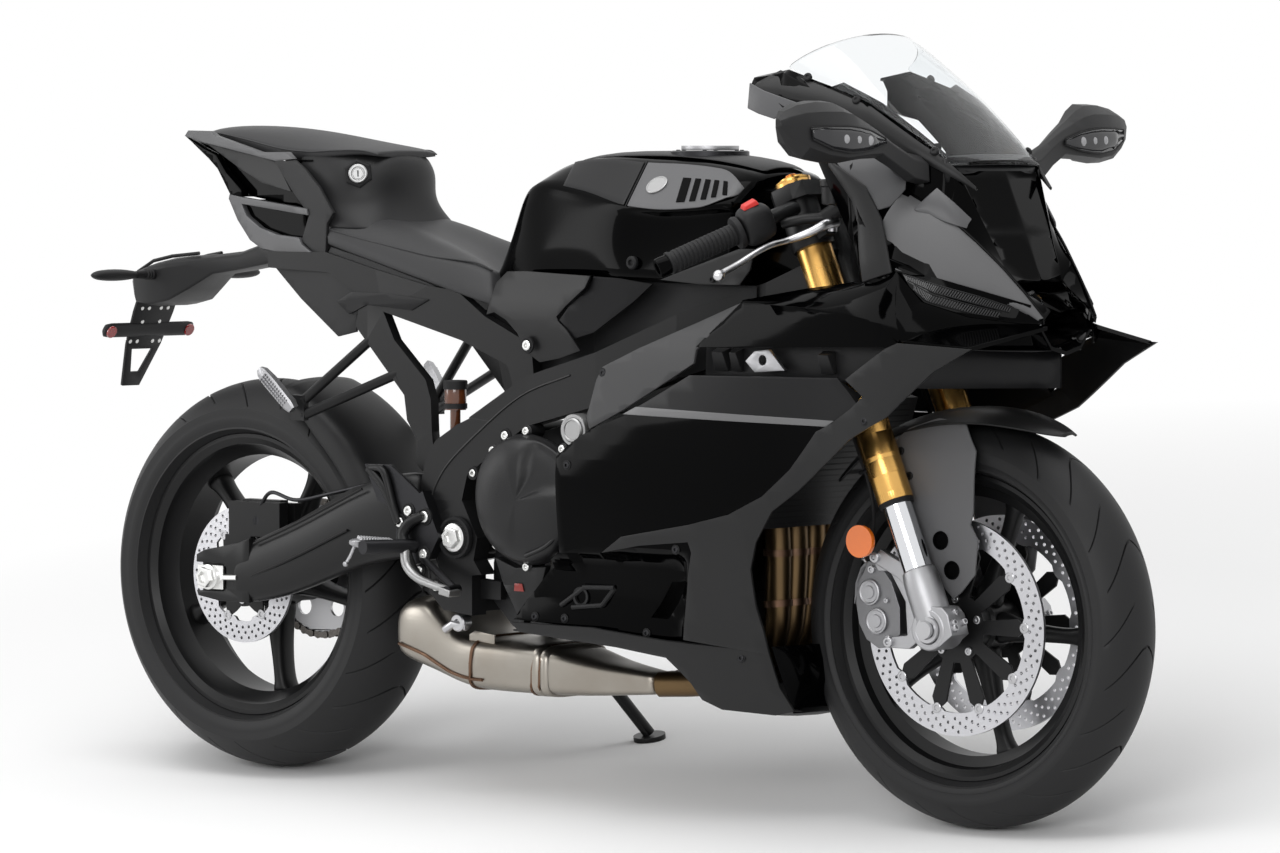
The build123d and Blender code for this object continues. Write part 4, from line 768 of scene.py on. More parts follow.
ARM = [(1144, 774), (1062, 703), (1058, 683), (911, 609), (844, 579), (836, 597), (853, 653), (865, 673), (941, 703),
       (1061, 744)]
MARK_PANEL = [(1048, 665), (1339, 668), (1380, 629), (1315, 599), (917, 604)]
STRIPE = [(938, 615), (1324, 605), (1307, 596), (911, 603)]
TOP_BAND = [(1144, 774), (1177, 774), (1343, 763), (1381, 756), (1422, 748), (1452, 721), (1430, 715), (1061, 707)]
FRONT_PANEL = [(1452, 721), (1574, 714), (1511, 681), (1426, 613), (1350, 578), (1289, 535), (1245, 501), (1194, 467),
               (1161, 420), (1145, 379), (1140, 322), (1142, 287), (1140, 249), (998, 266), (1030, 363), (1043, 400),
               (1039, 416), (945, 407), (868, 393), (911, 419), (1042, 442), (1118, 460), (1180, 489), (1232, 530),
               (1288, 588), (1322, 602), (1363, 625), (1387, 642), (1356, 666), (1432, 713)]
CORNER_INSET = [(1346, 664), (1384, 644), (1373, 632)]
GLOSS_PANEL = [(844, 577), (917, 602), (1315, 596), (1288, 588), (1232, 530), (1180, 489), (1118, 460), (1042, 442),
               (911, 419), (868, 393), (778, 389), (780, 469), (779, 535), (814, 561)]
RECESS_OUTLINE = [(778, 389), (868, 393), (945, 407), (1039, 416), (1043, 400), (1030, 363), (998, 266), (656, 280),
                  (680, 312), (751, 377)]
BELLY_SIDE = [(660, 276), (828, 276), (968, 262), (1139, 253), (1138, 198), (1150, 162), (1115, 154), (1021, 158),
              (991, 172), (981, 203), (955, 236), (866, 248), (678, 262)]
LIGHT_SLOT = [(931, 296), (978, 352), (1008, 355), (964, 295)]
FAIRING_SCREWS = [(1385, 607), (804, 523), (1014, 404), (761, 286), (923, 272), (1089, 242), (866, 664), (700, 286)]


RECESS_DEEP = 24
VENT_DEEP = 34


def recess_depth(x, z):
    """The lower recess goes in under its top lip and comes out again to the seam."""
    lip = clamp((402 - z) / 24) if x > 800 else clamp((385 - z) / 24)
    front = clamp((1036 - x - (400 - z) * 0.25) / 22)
    foot = clamp((z - 268) / 50)
    return skin(x, z) - RECESS_DEEP * lip * front * (0.45 + 0.55 * foot)


# name, outline, finish, lift, wall, edge
FAIRING_PANELS = (
    ("fairing_arm_", ARM, "arm_paint", 1.5, 4, 1.6), ("fairing_mark_panel_", MARK_PANEL, "satin_dark", 0.2, 4, 0.8),
    ("fairing_stripe_", STRIPE, "stripe_grey", 0.45, 0.5, 0.1),
    ("fairing_top_band_", TOP_BAND, "gloss_black", 1.5, 5, 1.6),
    ("fairing_front_panel_", FRONT_PANEL, "satin_paint", 2.0, 5, 1.8),
    ("fairing_corner_inset_", CORNER_INSET, "gloss_black", 1.0, 2, 0.5),
    ("fairing_gloss_panel_", GLOSS_PANEL, "gloss_black", 0.0, 4, 1.2))


def side_fairings(side, word):
    """The outer panels, the recess with its duct and screws, and the vent with its lining."""
    for base, outline, finish, lift, thick, edge in FAIRING_PANELS:
        panel(base + word, outline, finish, skin, side, lift, thick, edge,
              replaces=["side_fairing_" + word] if outline is ARM else ())
    panel("fairing_recess_" + word, RECESS_OUTLINE, "gloss_black", recess_depth, side, 0.0, 3, 0.8, cell=11,
          holes=[LIGHT_SLOT])
    panel("belly_side_" + word, BELLY_SIDE, "satin_paint", skin, side, 0.5, 4, 1.6)
    screws, recesses = [], []
    for x, z in FAIRING_SCREWS:
        y = skin(x, z) if not 268 < z < 400 else recess_depth(x, z)
        recesses.append(lathe([(0, 7.5), (1.2, 7.5), (1.9, 6.6), (1.9, 5.6)], (x, side * y, z), (0, side, 0), 20))
        screws.append(bolt((x, side * y, z), (0, side, 0), 5.2, 3.0))
    merge("fairing_washers_" + word, recesses, "rubber", sharp=30)
    merge("fairing_screws_" + word, screws, "dark_alloy", sharp=30)
    duct = []
    for x0, z0, x1, z1, r in ((752, 306, 800, 336, 4), (800, 336, 862, 338, 4), (862, 338, 836, 310, 4),
                              (836, 310, 776, 304, 4)):
        y = recess_depth((x0 + x1) / 2, (z0 + z1) / 2) + 2
        duct.append(tube([(x0, side * y, z0), (x1, side * y, z1)], r, 8))
    duct.append(lathe([(0, 15), (4, 15), (4, 11), (-6, 9), (-6, 0.01)], (792, side * recess_depth(792, 321), 321),
                      (0, side, 0), 20))
    merge("fairing_duct_" + word, duct, "matte_plastic", sharp=35)
    panel("vent_lining_" + word, [(1052, 712), (1436, 716), (1352, 660), (1052, 662)], "matte_plastic",
          lambda x, z: skin(x, z) - VENT_DEEP, side, 0, 2, 0.4)
    bits = []
    for x, wide in ((1090, 26), (1122, 18), (1300, 24)):
        y = skin(x, 690) - 28
        bits.append(solid([[(x - wide / 2, side * y, 672), (x + wide / 2, side * y, 672),
                           (x + wide / 2 - 3, side * (y + 12), 700), (x - wide / 2 + 3, side * (y + 12), 700)],
                          [(x - wide / 2, side * (y - 6), 672), (x + wide / 2, side * (y - 6), 672),
                           (x + wide / 2, side * (y - 6), 706), (x - wide / 2, side * (y - 6), 706)]]))
    merge("vent_ribs_" + word, bits, "satin_plastic", edge=0.8)
    silver = [(1150, 688), (1168, 703), (1196, 706), (1226, 676), (1168, 672)]
    panel("vent_bracket_" + word, silver, "cast_alloy", lambda x, z: skin(x, z) - 16, side, 0, 6, 1.5,
          holes=[round_line(1184, 690, 8, 14)])


def belly():
    """The belly pan's floor and its black front face."""
    rows = []
    keel_x, keel_z = [662, 760, 866, 955, 985, 1030, 1115, 1150], [262, 256, 248, 236, 190, 158, 154, 162]
    for x in (662, 760, 860, 955, 985, 1030, 1115, 1150):
        low = smooth_at(keel_x, keel_z, x)
        w = skin(x, low) - 1
        rows.append([(x, y * w, low - 6 * (1 - y * y) * (1 if x > 900 else 0) + 0.5) for y in
                     (-1, -0.97, -0.85, -0.5, 0, 0.5, 0.85, 0.97, 1)])
    piece("belly_floor", *grid(rows), "satin_paint", "chassis", ["belly_pan"], thick=3, edge=1, sharp=50)
    rows = []
    for z in (158, 170, 205, 240, 262):
        w = skin(1150, z) - 2
        front = smooth_at([158, 205, 262], [1150, 1170, 1160], z)
        rows.append([(1146 + (front - 1146) * (1 - abs(y) ** 3) * 1.5, y * w, z)
                     for y in (-1, -0.96, -0.8, -0.4, 0, 0.4, 0.8, 0.96, 1)])
    piece("belly_front", *grid(rows), "gloss_black", "chassis", thick=3, edge=0.8, sharp=60)


# ------------------------------------------------------------------ tank, seats and tail
def half_loft(name, stations, finish, replaces=(), creases=(), crease=0.7, shift=None):
    """Closed loft from half sections, right side first.  stations: (x, [(y, z), ...]) from the top centre out."""
    rows = []
    for k, (x, half) in enumerate(stations):
        ring = half + [(-y, z) for y, z in reversed(half) if y > 0]
        rows.append([(x + (shift(k, y) if shift else 0), y, z) for y, z in ring])
    n = len(rows[0])
    marks = []
    for j in creases:
        for column in {j, (n - j) % n}:
            marks += [(i * n + column, (i + 1) * n + column, crease) for i in range(len(rows) - 1)]
    for i in (0, len(rows) - 1):
        marks += [(i * n + j, i * n + (j + 1) % n, 0.6) for j in range(n)]
    return piece(name, *solid(rows), finish, "chassis", replaces, subdiv=2, creases=marks)


TANK_STATIONS = [
    (516, [(0, 801), (26, 800), (44, 798), (48, 797), (54, 796), (58, 794), (40, 793), (0, 793)]),
    (534, [(0, 830), (32, 828), (52, 823), (60, 815), (68, 806), (72, 795), (50, 793), (0, 793)]),
    (566, [(0, 874), (40, 871), (70, 862), (78, 846), (86, 822), (86, 796), (60, 794), (0, 794)]),
    (601, [(0, 932), (50, 930), (88, 917), (94, 895), (98, 850), (96, 798), (70, 796), (0, 796)]),
    (624, [(0, 957), (58, 955), (96, 942), (102, 915), (106, 860), (104, 799), (80, 797), (0, 797)]),
    (654, [(0, 975), (60, 970), (104, 950), (108, 920), (114, 860), (112, 801), (90, 799), (0, 799)]),
    (700, [(0, 991), (64, 984), (113, 944), (118, 915), (124, 860), (120, 803), (100, 801), (0, 801)]),
    (765, [(0, 996), (70, 988), (126, 934), (132, 908), (137, 860), (134, 807), (110, 805), (0, 805)]),
    (838, [(0, 996), (75, 984), (146, 918), (148, 896), (150, 860), (150, 807), (120, 805), (0, 805)]),
    (867, [(0, 996), (77, 983), (151, 913), (144, 900), (140, 862), (152, 807), (120, 805), (0, 805)]),
    (934, [(0, 993), (80, 981), (155, 908), (138, 896), (136, 860), (155, 805), (120, 803), (0, 803)]),
    (1000, [(0, 985), (84, 974), (155, 911), (138, 900), (137, 864), (158, 803), (120, 801), (0, 801)]),
    (1048, [(0, 974), (86, 963), (151, 916), (138, 904), (139, 868), (158, 800), (120, 798), (0, 798)]),
    (1060, [(0, 966), (78, 952), (138, 912), (132, 902), (136, 868), (156, 800), (120, 798), (0, 798)])]


def tank_facet(x, across, lift=0.0):
    """A point on the tank's upper side facet: across 0 at the top ridge and 1 at the shoulder."""
    xs = [row[0] for row in TANK_STATIONS]
    ridge = [smooth_at(xs, [row[1][1][k] for row in TANK_STATIONS], x) for k in (0, 1)]
    shoulder = [smooth_at(xs, [row[1][2][k] for row in TANK_STATIONS], x) for k in (0, 1)]
    y = ridge[0] + (shoulder[0] - ridge[0]) * across
    z = ridge[1] + (shoulder[1] - ridge[1]) * across
    out = Vector((0, ridge[1] - shoulder[1], shoulder[0] - ridge[0])).normalized()
    return Vector((x, y, z)) + out * lift


def fuel_tank():
    """The shell, its top cover and cap ring, and the facets, slots and badge on its sides."""
    half_loft("tank_shell", TANK_STATIONS, "gloss_black", ["fuel_tank"], creases=(1, 2, 3, 5), crease=0.82)
    xs = [row[0] for row in TANK_STATIONS]
    tops = [row[1][0][1] for row in TANK_STATIONS]
    rows = []
    for x, w in ((662, 34), (680, 50), (740, 56), (830, 60), (905, 64), (980, 66), (1030, 62), (1054, 48)):
        z = smooth_at(xs, tops, x)
        rows.append([(x, w * y, z + 2.4 - 7 * abs(y) ** 3) for y in (-1, -0.8, -0.4, 0, 0.4, 0.8, 1)])
    piece("tank_top_cover", *grid(rows), "satin_plastic", thick=2.4, subdiv=1)
    ring = [(-6, 60), (1.5, 60), (3.2, 57), (3.2, 48), (1.0, 46.5), (-6, 46.5)]
    merge("cap_ring", [lathe(ring, (905, 0, 995), (0, 0, 1), 64)]
          + [bolt((905 + 52 * math.cos(k * math.pi / 3), 52 * math.sin(k * math.pi / 3), 997.5), (0, 0, 1), 3.2, 2)
             for k in range(6)], "dark_alloy", sharp=35)
    for side, word in SIDES:
        # the front facet's lighter grey is a painted reflection on the black tank
        for base, finish, x0, x1 in (("tank_front_facet_painted_reflection_", "grey_paint", 848, 1050),
                                     ("tank_rear_facet_", "satin_dark", 690, 840)):
            rows = []
            for i in range(25):
                x = x0 + (x1 - x0) * i / 24
                high = 0.06 + (0.3 * max(0, (x - 1000) / 50) ** 2 if x0 > 800 else 0.0)
                low = 0.98 - (0.42 * max(0, (x - 990) / 60) ** 2 if x0 > 800 else 0.0)
                row = [high + (low - high) * k / 8 for k in range(9)]
                rows.append(flip([tank_facet(min(x + 18 * t, 1056), t, 1.0) for t in row], side))
            piece(base + word, *grid(rows), finish, thick=1.6, edge=0.5)
        badge = tank_facet(898, 0.52, 1.6)
        way = tank_facet(898, 0.52, 9) - badge
        merge("tank_badge_" + word, [lathe([(-2, 18), (1.4, 18), (2.2, 17), (2.2, 15.4), (1.6, 15), (1.6, 0.01)],
                                           (badge.x, side * badge.y, badge.z), (way.x, side * way.y, way.z), 40)],
              "satin_alloy", sharp=35)
        # the slots are near-black blocks on the facet: painted shade in place of open slots
        slots = []
        for x, wide, low in ((940, 16, 0.84), (965, 11, 0.83), (985, 10, 0.8), (1003, 9, 0.76), (1021, 8, 0.7)):
            spots = ((x, 0.34), (x + wide, 0.34), (x + wide + 17, low), (x + 17, low))
            slots.append(solid([flip([tank_facet(u, v, lift) for u, v in spots], side) for lift in (-0.8, 2.3)]))
        merge("tank_slots_" + word, slots, "hole_black")
        seam = [tank_facet(845 + 18 * t, t, 0.5) for t in (0.02, 0.25, 0.5, 0.75, 1.0)]
        merge("tank_seam_" + word, [tube(flip(seam, side), 0.9, 6)], "rubber")
        merge("tank_bolts_" + word, [
            lathe([(0, 10), (5, 10), (7, 8), (7, 5), (4, 4), (4, 0.01)], (878, side * 150, 829), (0, side, 0), 24),
            bolt((648, side * 128, 767), (0, side, 0), 6, 4), bolt((1040, side * 160, 806), (0, side, 0), 5, 3)],
            "rubber", sharp=30)


SIDE_COVER = [(584, 795), (606, 812), (649, 813), (800, 808), (792, 790), (752, 762), (731, 745), (735, 738),
              (752, 726), (764, 712), (779, 694), (728, 681), (682, 674), (662, 684), (646, 700), (637, 718),
              (612, 738), (584, 749), (566, 745), (575, 770)]
COVER_FACET = [(800, 807), (846, 805), (905, 797), (872, 770), (800, 722), (764, 712), (752, 728), (738, 740),
               (756, 762), (792, 788)]
COVER_LINING = [(540, 752), (575, 700), (640, 656), (690, 646), (800, 650), (880, 700), (900, 800), (790, 808),
                (640, 808), (560, 776)]
WEDGE = [(936, 804), (1091, 852), (1120, 852), (1112, 821), (1091, 798), (1014, 798)]


def tank_sides(side, word):
    """The covers below the tank."""
    panel("side_cover_" + word, SIDE_COVER, "satin_black",
          lambda x, z: 120 + (x - 560) * 0.16 + 10 * math.sin(clamp((z - 680) / 130) * 3.1), side, 0, 3, 1.5,
          replaces=["tank_covers"])
    panel("cover_lining_" + word, COVER_LINING, "matte_plastic", lambda x, z: 100, side, 0, 3, 1)
    panel("cover_facet_" + word, COVER_FACET, "satin_dark", lambda x, z: 158 - (x - 740) * 0.12, side, 0, 3, 1.2)
    panel("cover_wedge_" + word, WEDGE, "satin_paint", lambda x, z: 158 + (x - 1000) * 0.02, side, 0, 3, 1.2)


SEAT_STATIONS = [
    (224, [(0, 905), (30, 905), (60, 903), (96, 893), (120, 874), (126, 862), (124, 851), (90, 846), (0, 846)]),
    (238, [(0, 904), (30, 904), (62, 902), (98, 892), (122, 872), (128, 858), (126, 847), (90, 842), (0, 842)]),
    (278, [(0, 896), (30, 896), (64, 897), (98, 890), (122, 863), (129, 848), (127, 836), (90, 832), (0, 832)]),
    (331, [(0, 877), (30, 878), (62, 884), (94, 883), (121, 853), (131, 836), (129, 823), (90, 820), (0, 820)]),
    (389, [(0, 856), (28, 857), (60, 865), (92, 866), (121, 843), (134, 820), (132, 808), (90, 804), (0, 804)]),
    (441, [(0, 837), (28, 838), (60, 850), (90, 852), (119, 834), (135, 806), (133, 795), (90, 793), (0, 793)]),
    (494, [(0, 820), (26, 821), (56, 833), (86, 840), (114, 829), (134, 790), (132, 780), (90, 785), (0, 786)]),
    (536, [(0, 812), (26, 812), (50, 822), (76, 829), (106, 824), (130, 776), (128, 768), (90, 776), (0, 784)]),
    (574, [(0, 806), (24, 806), (44, 810), (68, 814), (100, 813), (124, 766), (122, 758), (90, 768), (0, 784)])]


def front_edge(k, y):
    """The seat's front runs back at the middle, round the tank's tail."""
    pull = {8: 70, 7: 44, 6: 18}.get(k, 0)
    return -pull * (1 - min(abs(y) / 122, 1) ** 2)


PAD_STATIONS = [
    (-106, [(0, 1034), (24, 1034), (44, 1030), (52, 1025), (50, 1018), (30, 1016), (0, 1016)]),
    (-70, [(0, 1040), (28, 1039), (54, 1035), (64, 1027), (62, 1016), (40, 1012), (0, 1012)]),
    (10, [(0, 1039), (34, 1038), (66, 1030), (80, 1016), (78, 1000), (50, 996), (0, 996)]),
    (94, [(0, 1032), (38, 1030), (74, 1019), (92, 1002), (90, 985), (60, 982), (0, 982)]),
    (160, [(0, 1022), (40, 1020), (78, 1011), (97, 997), (95, 983), (60, 981), (0, 981)]),
    (215, [(0, 1012), (40, 1011), (76, 1006), (96, 999), (93, 990), (60, 988), (0, 988)]),
    (258, [(0, 1005), (38, 1004), (68, 1002), (84, 999), (82, 993), (56, 991), (0, 991)]),
    (284, [(0, 998), (34, 997), (58, 996), (70, 993), (68, 989), (50, 987), (0, 987)])]


def seam_line(stations, index, side, lift, shift=None):
    """Points along one row of a loft, a little proud of it."""
    points = []
    for k, (x, half) in enumerate(stations):
        y, z = half[index]
        points.append((x + (shift(k, y) if shift else 0), side * (y + lift * 0.6), z + lift * 0.6))
    return curve_points(points, 6)


def seats():
    """Both seats and their piping."""
    seat = half_loft("rider_seat_cushion", SEAT_STATIONS, "seat_cover", ["rider_seat"], creases=(4, 6), crease=0.45,
                     shift=front_edge)
    pad = half_loft("passenger_seat_pad", PAD_STATIONS, "seat_cover", ["passenger_seat"], creases=(3, 4), crease=0.5)
    for side, word in SIDES:
        merge("seat_piping_" + word, [tube(seam_line(SEAT_STATIONS, 4, side, -0.6, front_edge), 1.4, 8),
                                      tube(seam_line(PAD_STATIONS, 3, side, -1.0), 1.2, 8)], "seat_cover")


def tail_skin(x, z):
    return 84 + (min(max(x, -126), 230) + 113) / 320 * 38


def tail_flank(x, z):
    return 104 + clamp(x, 0, 250) / 250 * 20


FIN_EDGE = [(-124, 1022), (-115, 1031), (-60, 1030), (-46, 1022), (66, 996), (130, 996), (145, 985), (101, 982),
            (72, 987), (-84, 1013)]
TIER_UP = [(-84, 1012), (73, 986), (100, 980), (140, 933), (66, 947), (11, 969), (-46, 995)]
TIER_SHADE = [(-46, 994), (11, 968), (66, 946), (140, 932), (152, 908), (17, 926), (14, 935), (-21, 963)]
TAIL_EDGE = [(-124, 1022), (-81, 1003), (-46, 991), (-21, 963), (17, 935), (18, 926), (-10, 927), (-42, 969),
             (-80, 997)]
TAIL_LIP = [(-10, 928), (17, 924), (152, 909), (180, 906), (183, 896), (152, 899), (20, 913), (32, 894), (66, 875),
            (109, 864), (161, 860), (168, 849), (207, 829), (212, 822), (66, 843), (41, 855), (10, 887), (-12, 921)]
TAIL_SCOOP = [(16, 914), (156, 901), (166, 858), (109, 860), (66, 871), (30, 892)]
TAIL_FRONT = [(100, 981), (147, 983), (171, 970), (207, 940), (240, 900), (226, 883), (222, 833), (226, 822),
              (207, 829), (165, 856), (183, 896), (140, 936)]
TAIL_COVER = [(60, 842), (212, 821), (232, 846), (284, 834), (331, 822), (440, 792), (470, 782), (441, 762),
              (409, 745), (314, 752), (290, 741), (289, 713), (250, 705), (164, 763), (103, 812)]
TAIL_RIB = [(250, 760), (282, 776), (362, 774), (446, 766), (409, 749), (314, 756), (287, 745), (277, 741)]


def hump():
    """The cover below the pad's front, with the lock."""
    def ring(z, front, mid, corner, rear):
        half = [(front[0], 0), (front[1], 34), (mid[0], mid[1]), (corner[0], corner[1]), (rear[0], rear[1])]
        return [(x, -y, z) for x, y in reversed(half)] + [(x, y, z) for x, y in half[1:]]
    rows = [
        ring(993, (282, 279), (262, 64), (206, 92), (140, 94)), ring(984, (296, 293), (276, 70), (218, 98), (140, 98)),
        ring(960, (303, 300), (286, 74), (240, 106), (146, 104)),
        ring(936, (298, 296), (284, 72), (240, 107), (160, 108)),
        ring(915, (297, 296), (290, 74), (244, 106), (172, 112)),
        ring(895, (302, 302), (300, 84), (262, 112), (184, 116)),
        ring(876, (312, 314), (312, 92), (292, 116), (196, 120))]
    piece("lock_cover", *grid(rows), "satin_plastic", thick=3, subdiv=2)
    lock = [(-2, 15), (2, 15), (3.4, 13.5), (3.4, 11), (1.4, 10), (1.4, 8.8), (3.2, 8.2), (3.2, 0.01)]
    slot = block((-0.9, -5, 3.0), (0.9, 5, 3.7))
    at = Vector((262, -92, 962))
    out = Vector((0.62, -0.78, 0.05)).normalized()
    merge("seat_lock", [lathe(lock, at, out, 32)], "satin_alloy", sharp=30)
    side = out.cross(Vector((0, 0, 1))).normalized()
    verts = [at + side * v[0] + Vector((0, 0, 1)) * v[1] + out * v[2] for v in slot[0]]
    # the key slot is a near-black block: painted shade
    piece("seat_lock_slot", verts, slot[1], "hole_black")
    merge("seat_lock_bezel", [lathe([(-6, 24), (-1, 23), (0.5, 20), (-0.5, 16), (-6, 16)], at, out, 6)], "rubber",
          sharp=25)


# name, outline, finish, surface, lift, wall, edge, cell, the CAD node that it replaces
TAIL_PANELS = (
    ("tail_fin_", FIN_EDGE, "grey_paint", tail_skin, 4, 10, 1.5, 18, ["tail_cowl"]),
    ("tail_upper_", TIER_UP, "satin_paint", lambda x, z: tail_skin(x, z) - 4 + (1000 - z) * 0.10, 0, 5, 1.5, 16, ()),
    ("tail_shade_", TIER_SHADE, "gloss_black", lambda x, z: tail_skin(x, z) - 14, 0, 3, 1, 16, ()),
    ("tail_edge_", TAIL_EDGE, "gloss_black", tail_skin, 3, 12, 1.5, 16, ()),
    ("tail_lip_", TAIL_LIP, "grey_paint", tail_skin, 5, 10, 2.2, 14, ()),
    ("tail_scoop_", TAIL_SCOOP, "gloss_black", lambda x, z: tail_skin(x, z) - 4 - 10 * clamp((x - 20) / 140),
     0, 3, 0.8, 14, ()),
    ("tail_front_", TAIL_FRONT, "satin_plastic", tail_skin, 2, 6, 1.6, 16, ()),
    ("tail_cover_", TAIL_COVER, "satin_plastic", lambda x, z: tail_flank(x, z) - max(0, (z - 800)) * 0.05,
     2, 4, 1.8, 20, ["tail_covers"]),
    ("tail_rib_", TAIL_RIB, "satin_dark", tail_flank, 6, 4, 1.6, 16, ()))
# name, finish, (x, z, half width) from the rear on
TAIL_FACES = (
    ("tail_rear_face", "gloss_black", ((-118, 1020, 82), (-90, 1000, 82), (-48, 972, 84), (-8, 926, 88))),
    ("tail_underside", "matte_plastic", ((-10, 918, 80), (10, 886, 86), (44, 854, 90), (110, 838, 96),
                                         (210, 820, 112))),
    ("tail_deck", "gloss_black", ((-114, 1026, 72), (-60, 1022, 78), (66, 990, 92), (140, 984, 98), (170, 984, 100))))
SIX_ACROSS = (-1, -0.6, -0.2, 0.2, 0.6, 1)


def tail():
    """The tail's side panels, its faces and the lock cover."""
    for side, word in SIDES:
        for base, outline, finish, surface, lift, thick, edge, cell, node in TAIL_PANELS:
            panel(base + word, outline, finish, surface, side, lift, thick, edge, cell, replaces=node)
    for name, finish, stations in TAIL_FACES:
        piece(name, *grid(bands(stations, SIX_ACROSS)), finish, thick=3)
    hump()


# ------------------------------------------------------------------ cowl, screen, lamps and mirrors
SCREEN_STATIONS = [
    ((1462, 0, 980), (1444, 108, 977)), ((1432, 0, 1005), (1416, 117, 998)), ((1401, 0, 1033), (1385, 124, 1020)),
    ((1342, 0, 1088), (1320, 140, 1064)), ((1290, 0, 1136), (1247, 149, 1093)), ((1262, 0, 1160), (1190, 148, 1114)),
    ((1244, 0, 1172), (1170, 146, 1120))]
NOSE_CREASE = [(1385, 142, 938), (1420, 132, 918), (1452, 120, 897), (1488, 105, 864), (1520, 90, 830),
               (1552, 76, 792), (1579, 63, 755)]
LAMP_TOP = [(1377, 184, 893), (1411, 196, 825), (1440, 180, 815), (1467, 164, 807), (1515, 125, 790),
            (1546, 96, 773), (1574, 68, 752)]


def screen_row(centre, edge, steps=10):
    """The screen's section: an arc from edge to edge through its middle."""
    row = []
    for i in range(-steps, steps + 1):
        t = i / steps
        s = 1 if t >= 0 else -1
        a = abs(t) * math.pi / 2
        x = centre[0] + (edge[0] - centre[0]) * (1 - math.cos(a))
        z = centre[2] + (edge[2] - centre[2]) * (1 - math.cos(a))
        row.append((x, s * edge[1] * math.sin(a), z))
    return row


def screen():
    """The glass, the bands at its foot and sides, and its screws."""
    rows = [screen_row(c, e) for c, e in SCREEN_STATIONS]
    glass = piece("screen_glass", *grid(rows), "screen_clear", "chassis", ["windscreen"], subdiv=2)
    add_wall(glass, 2.6)
    rows = [screen_row(centre, edge, 8) for centre, edge in
            (((1461, 0, 977.5), (1443, 107, 974.5)), ((1452, 0, 985), (1436, 109, 981)),
             ((1442, 0, 993), (1428, 112, 987)))]
    piece("screen_foot_band", *grid(rows), "satin_dark", thick=2, subdiv=1)
    rows = [screen_row((1454, 0, 981), (1434, 114, 988), 8), screen_row((1457, 0, 952), (1438, 114, 952), 8)]
    piece("screen_foot_lining", *grid(rows), "satin_dark", thick=2)
    shell("screen_side_band", between(
        [(1444, 107, 974), (1416, 116, 995), (1385, 123, 1017), (1320, 139, 1061), (1247, 148, 1090)],
        [(1446, 92, 978), (1420, 104, 1002), (1392, 114, 1026), (1334, 128, 1068), (1270, 138, 1098)], 2),
        "satin_dark", -1.2, 1.2, 0.2)
    for side, word in SIDES:
        heads = []
        for x, y, z in ((1213, 151, 1106), (1300, 146, 1072), (1420, 116, 997)):
            at = Vector((x, side * y, z))
            out = Vector((0.25, side * 0.85, 0.5)).normalized()
            heads.append(lathe([(-3, 6.5), (1.2, 6.5), (2.6, 5), (2.6, 2.5), (1.4, 2.2), (1.4, 0.01)], at, out, 18))
        merge("screen_screws_" + word, heads, "rubber", sharp=35)


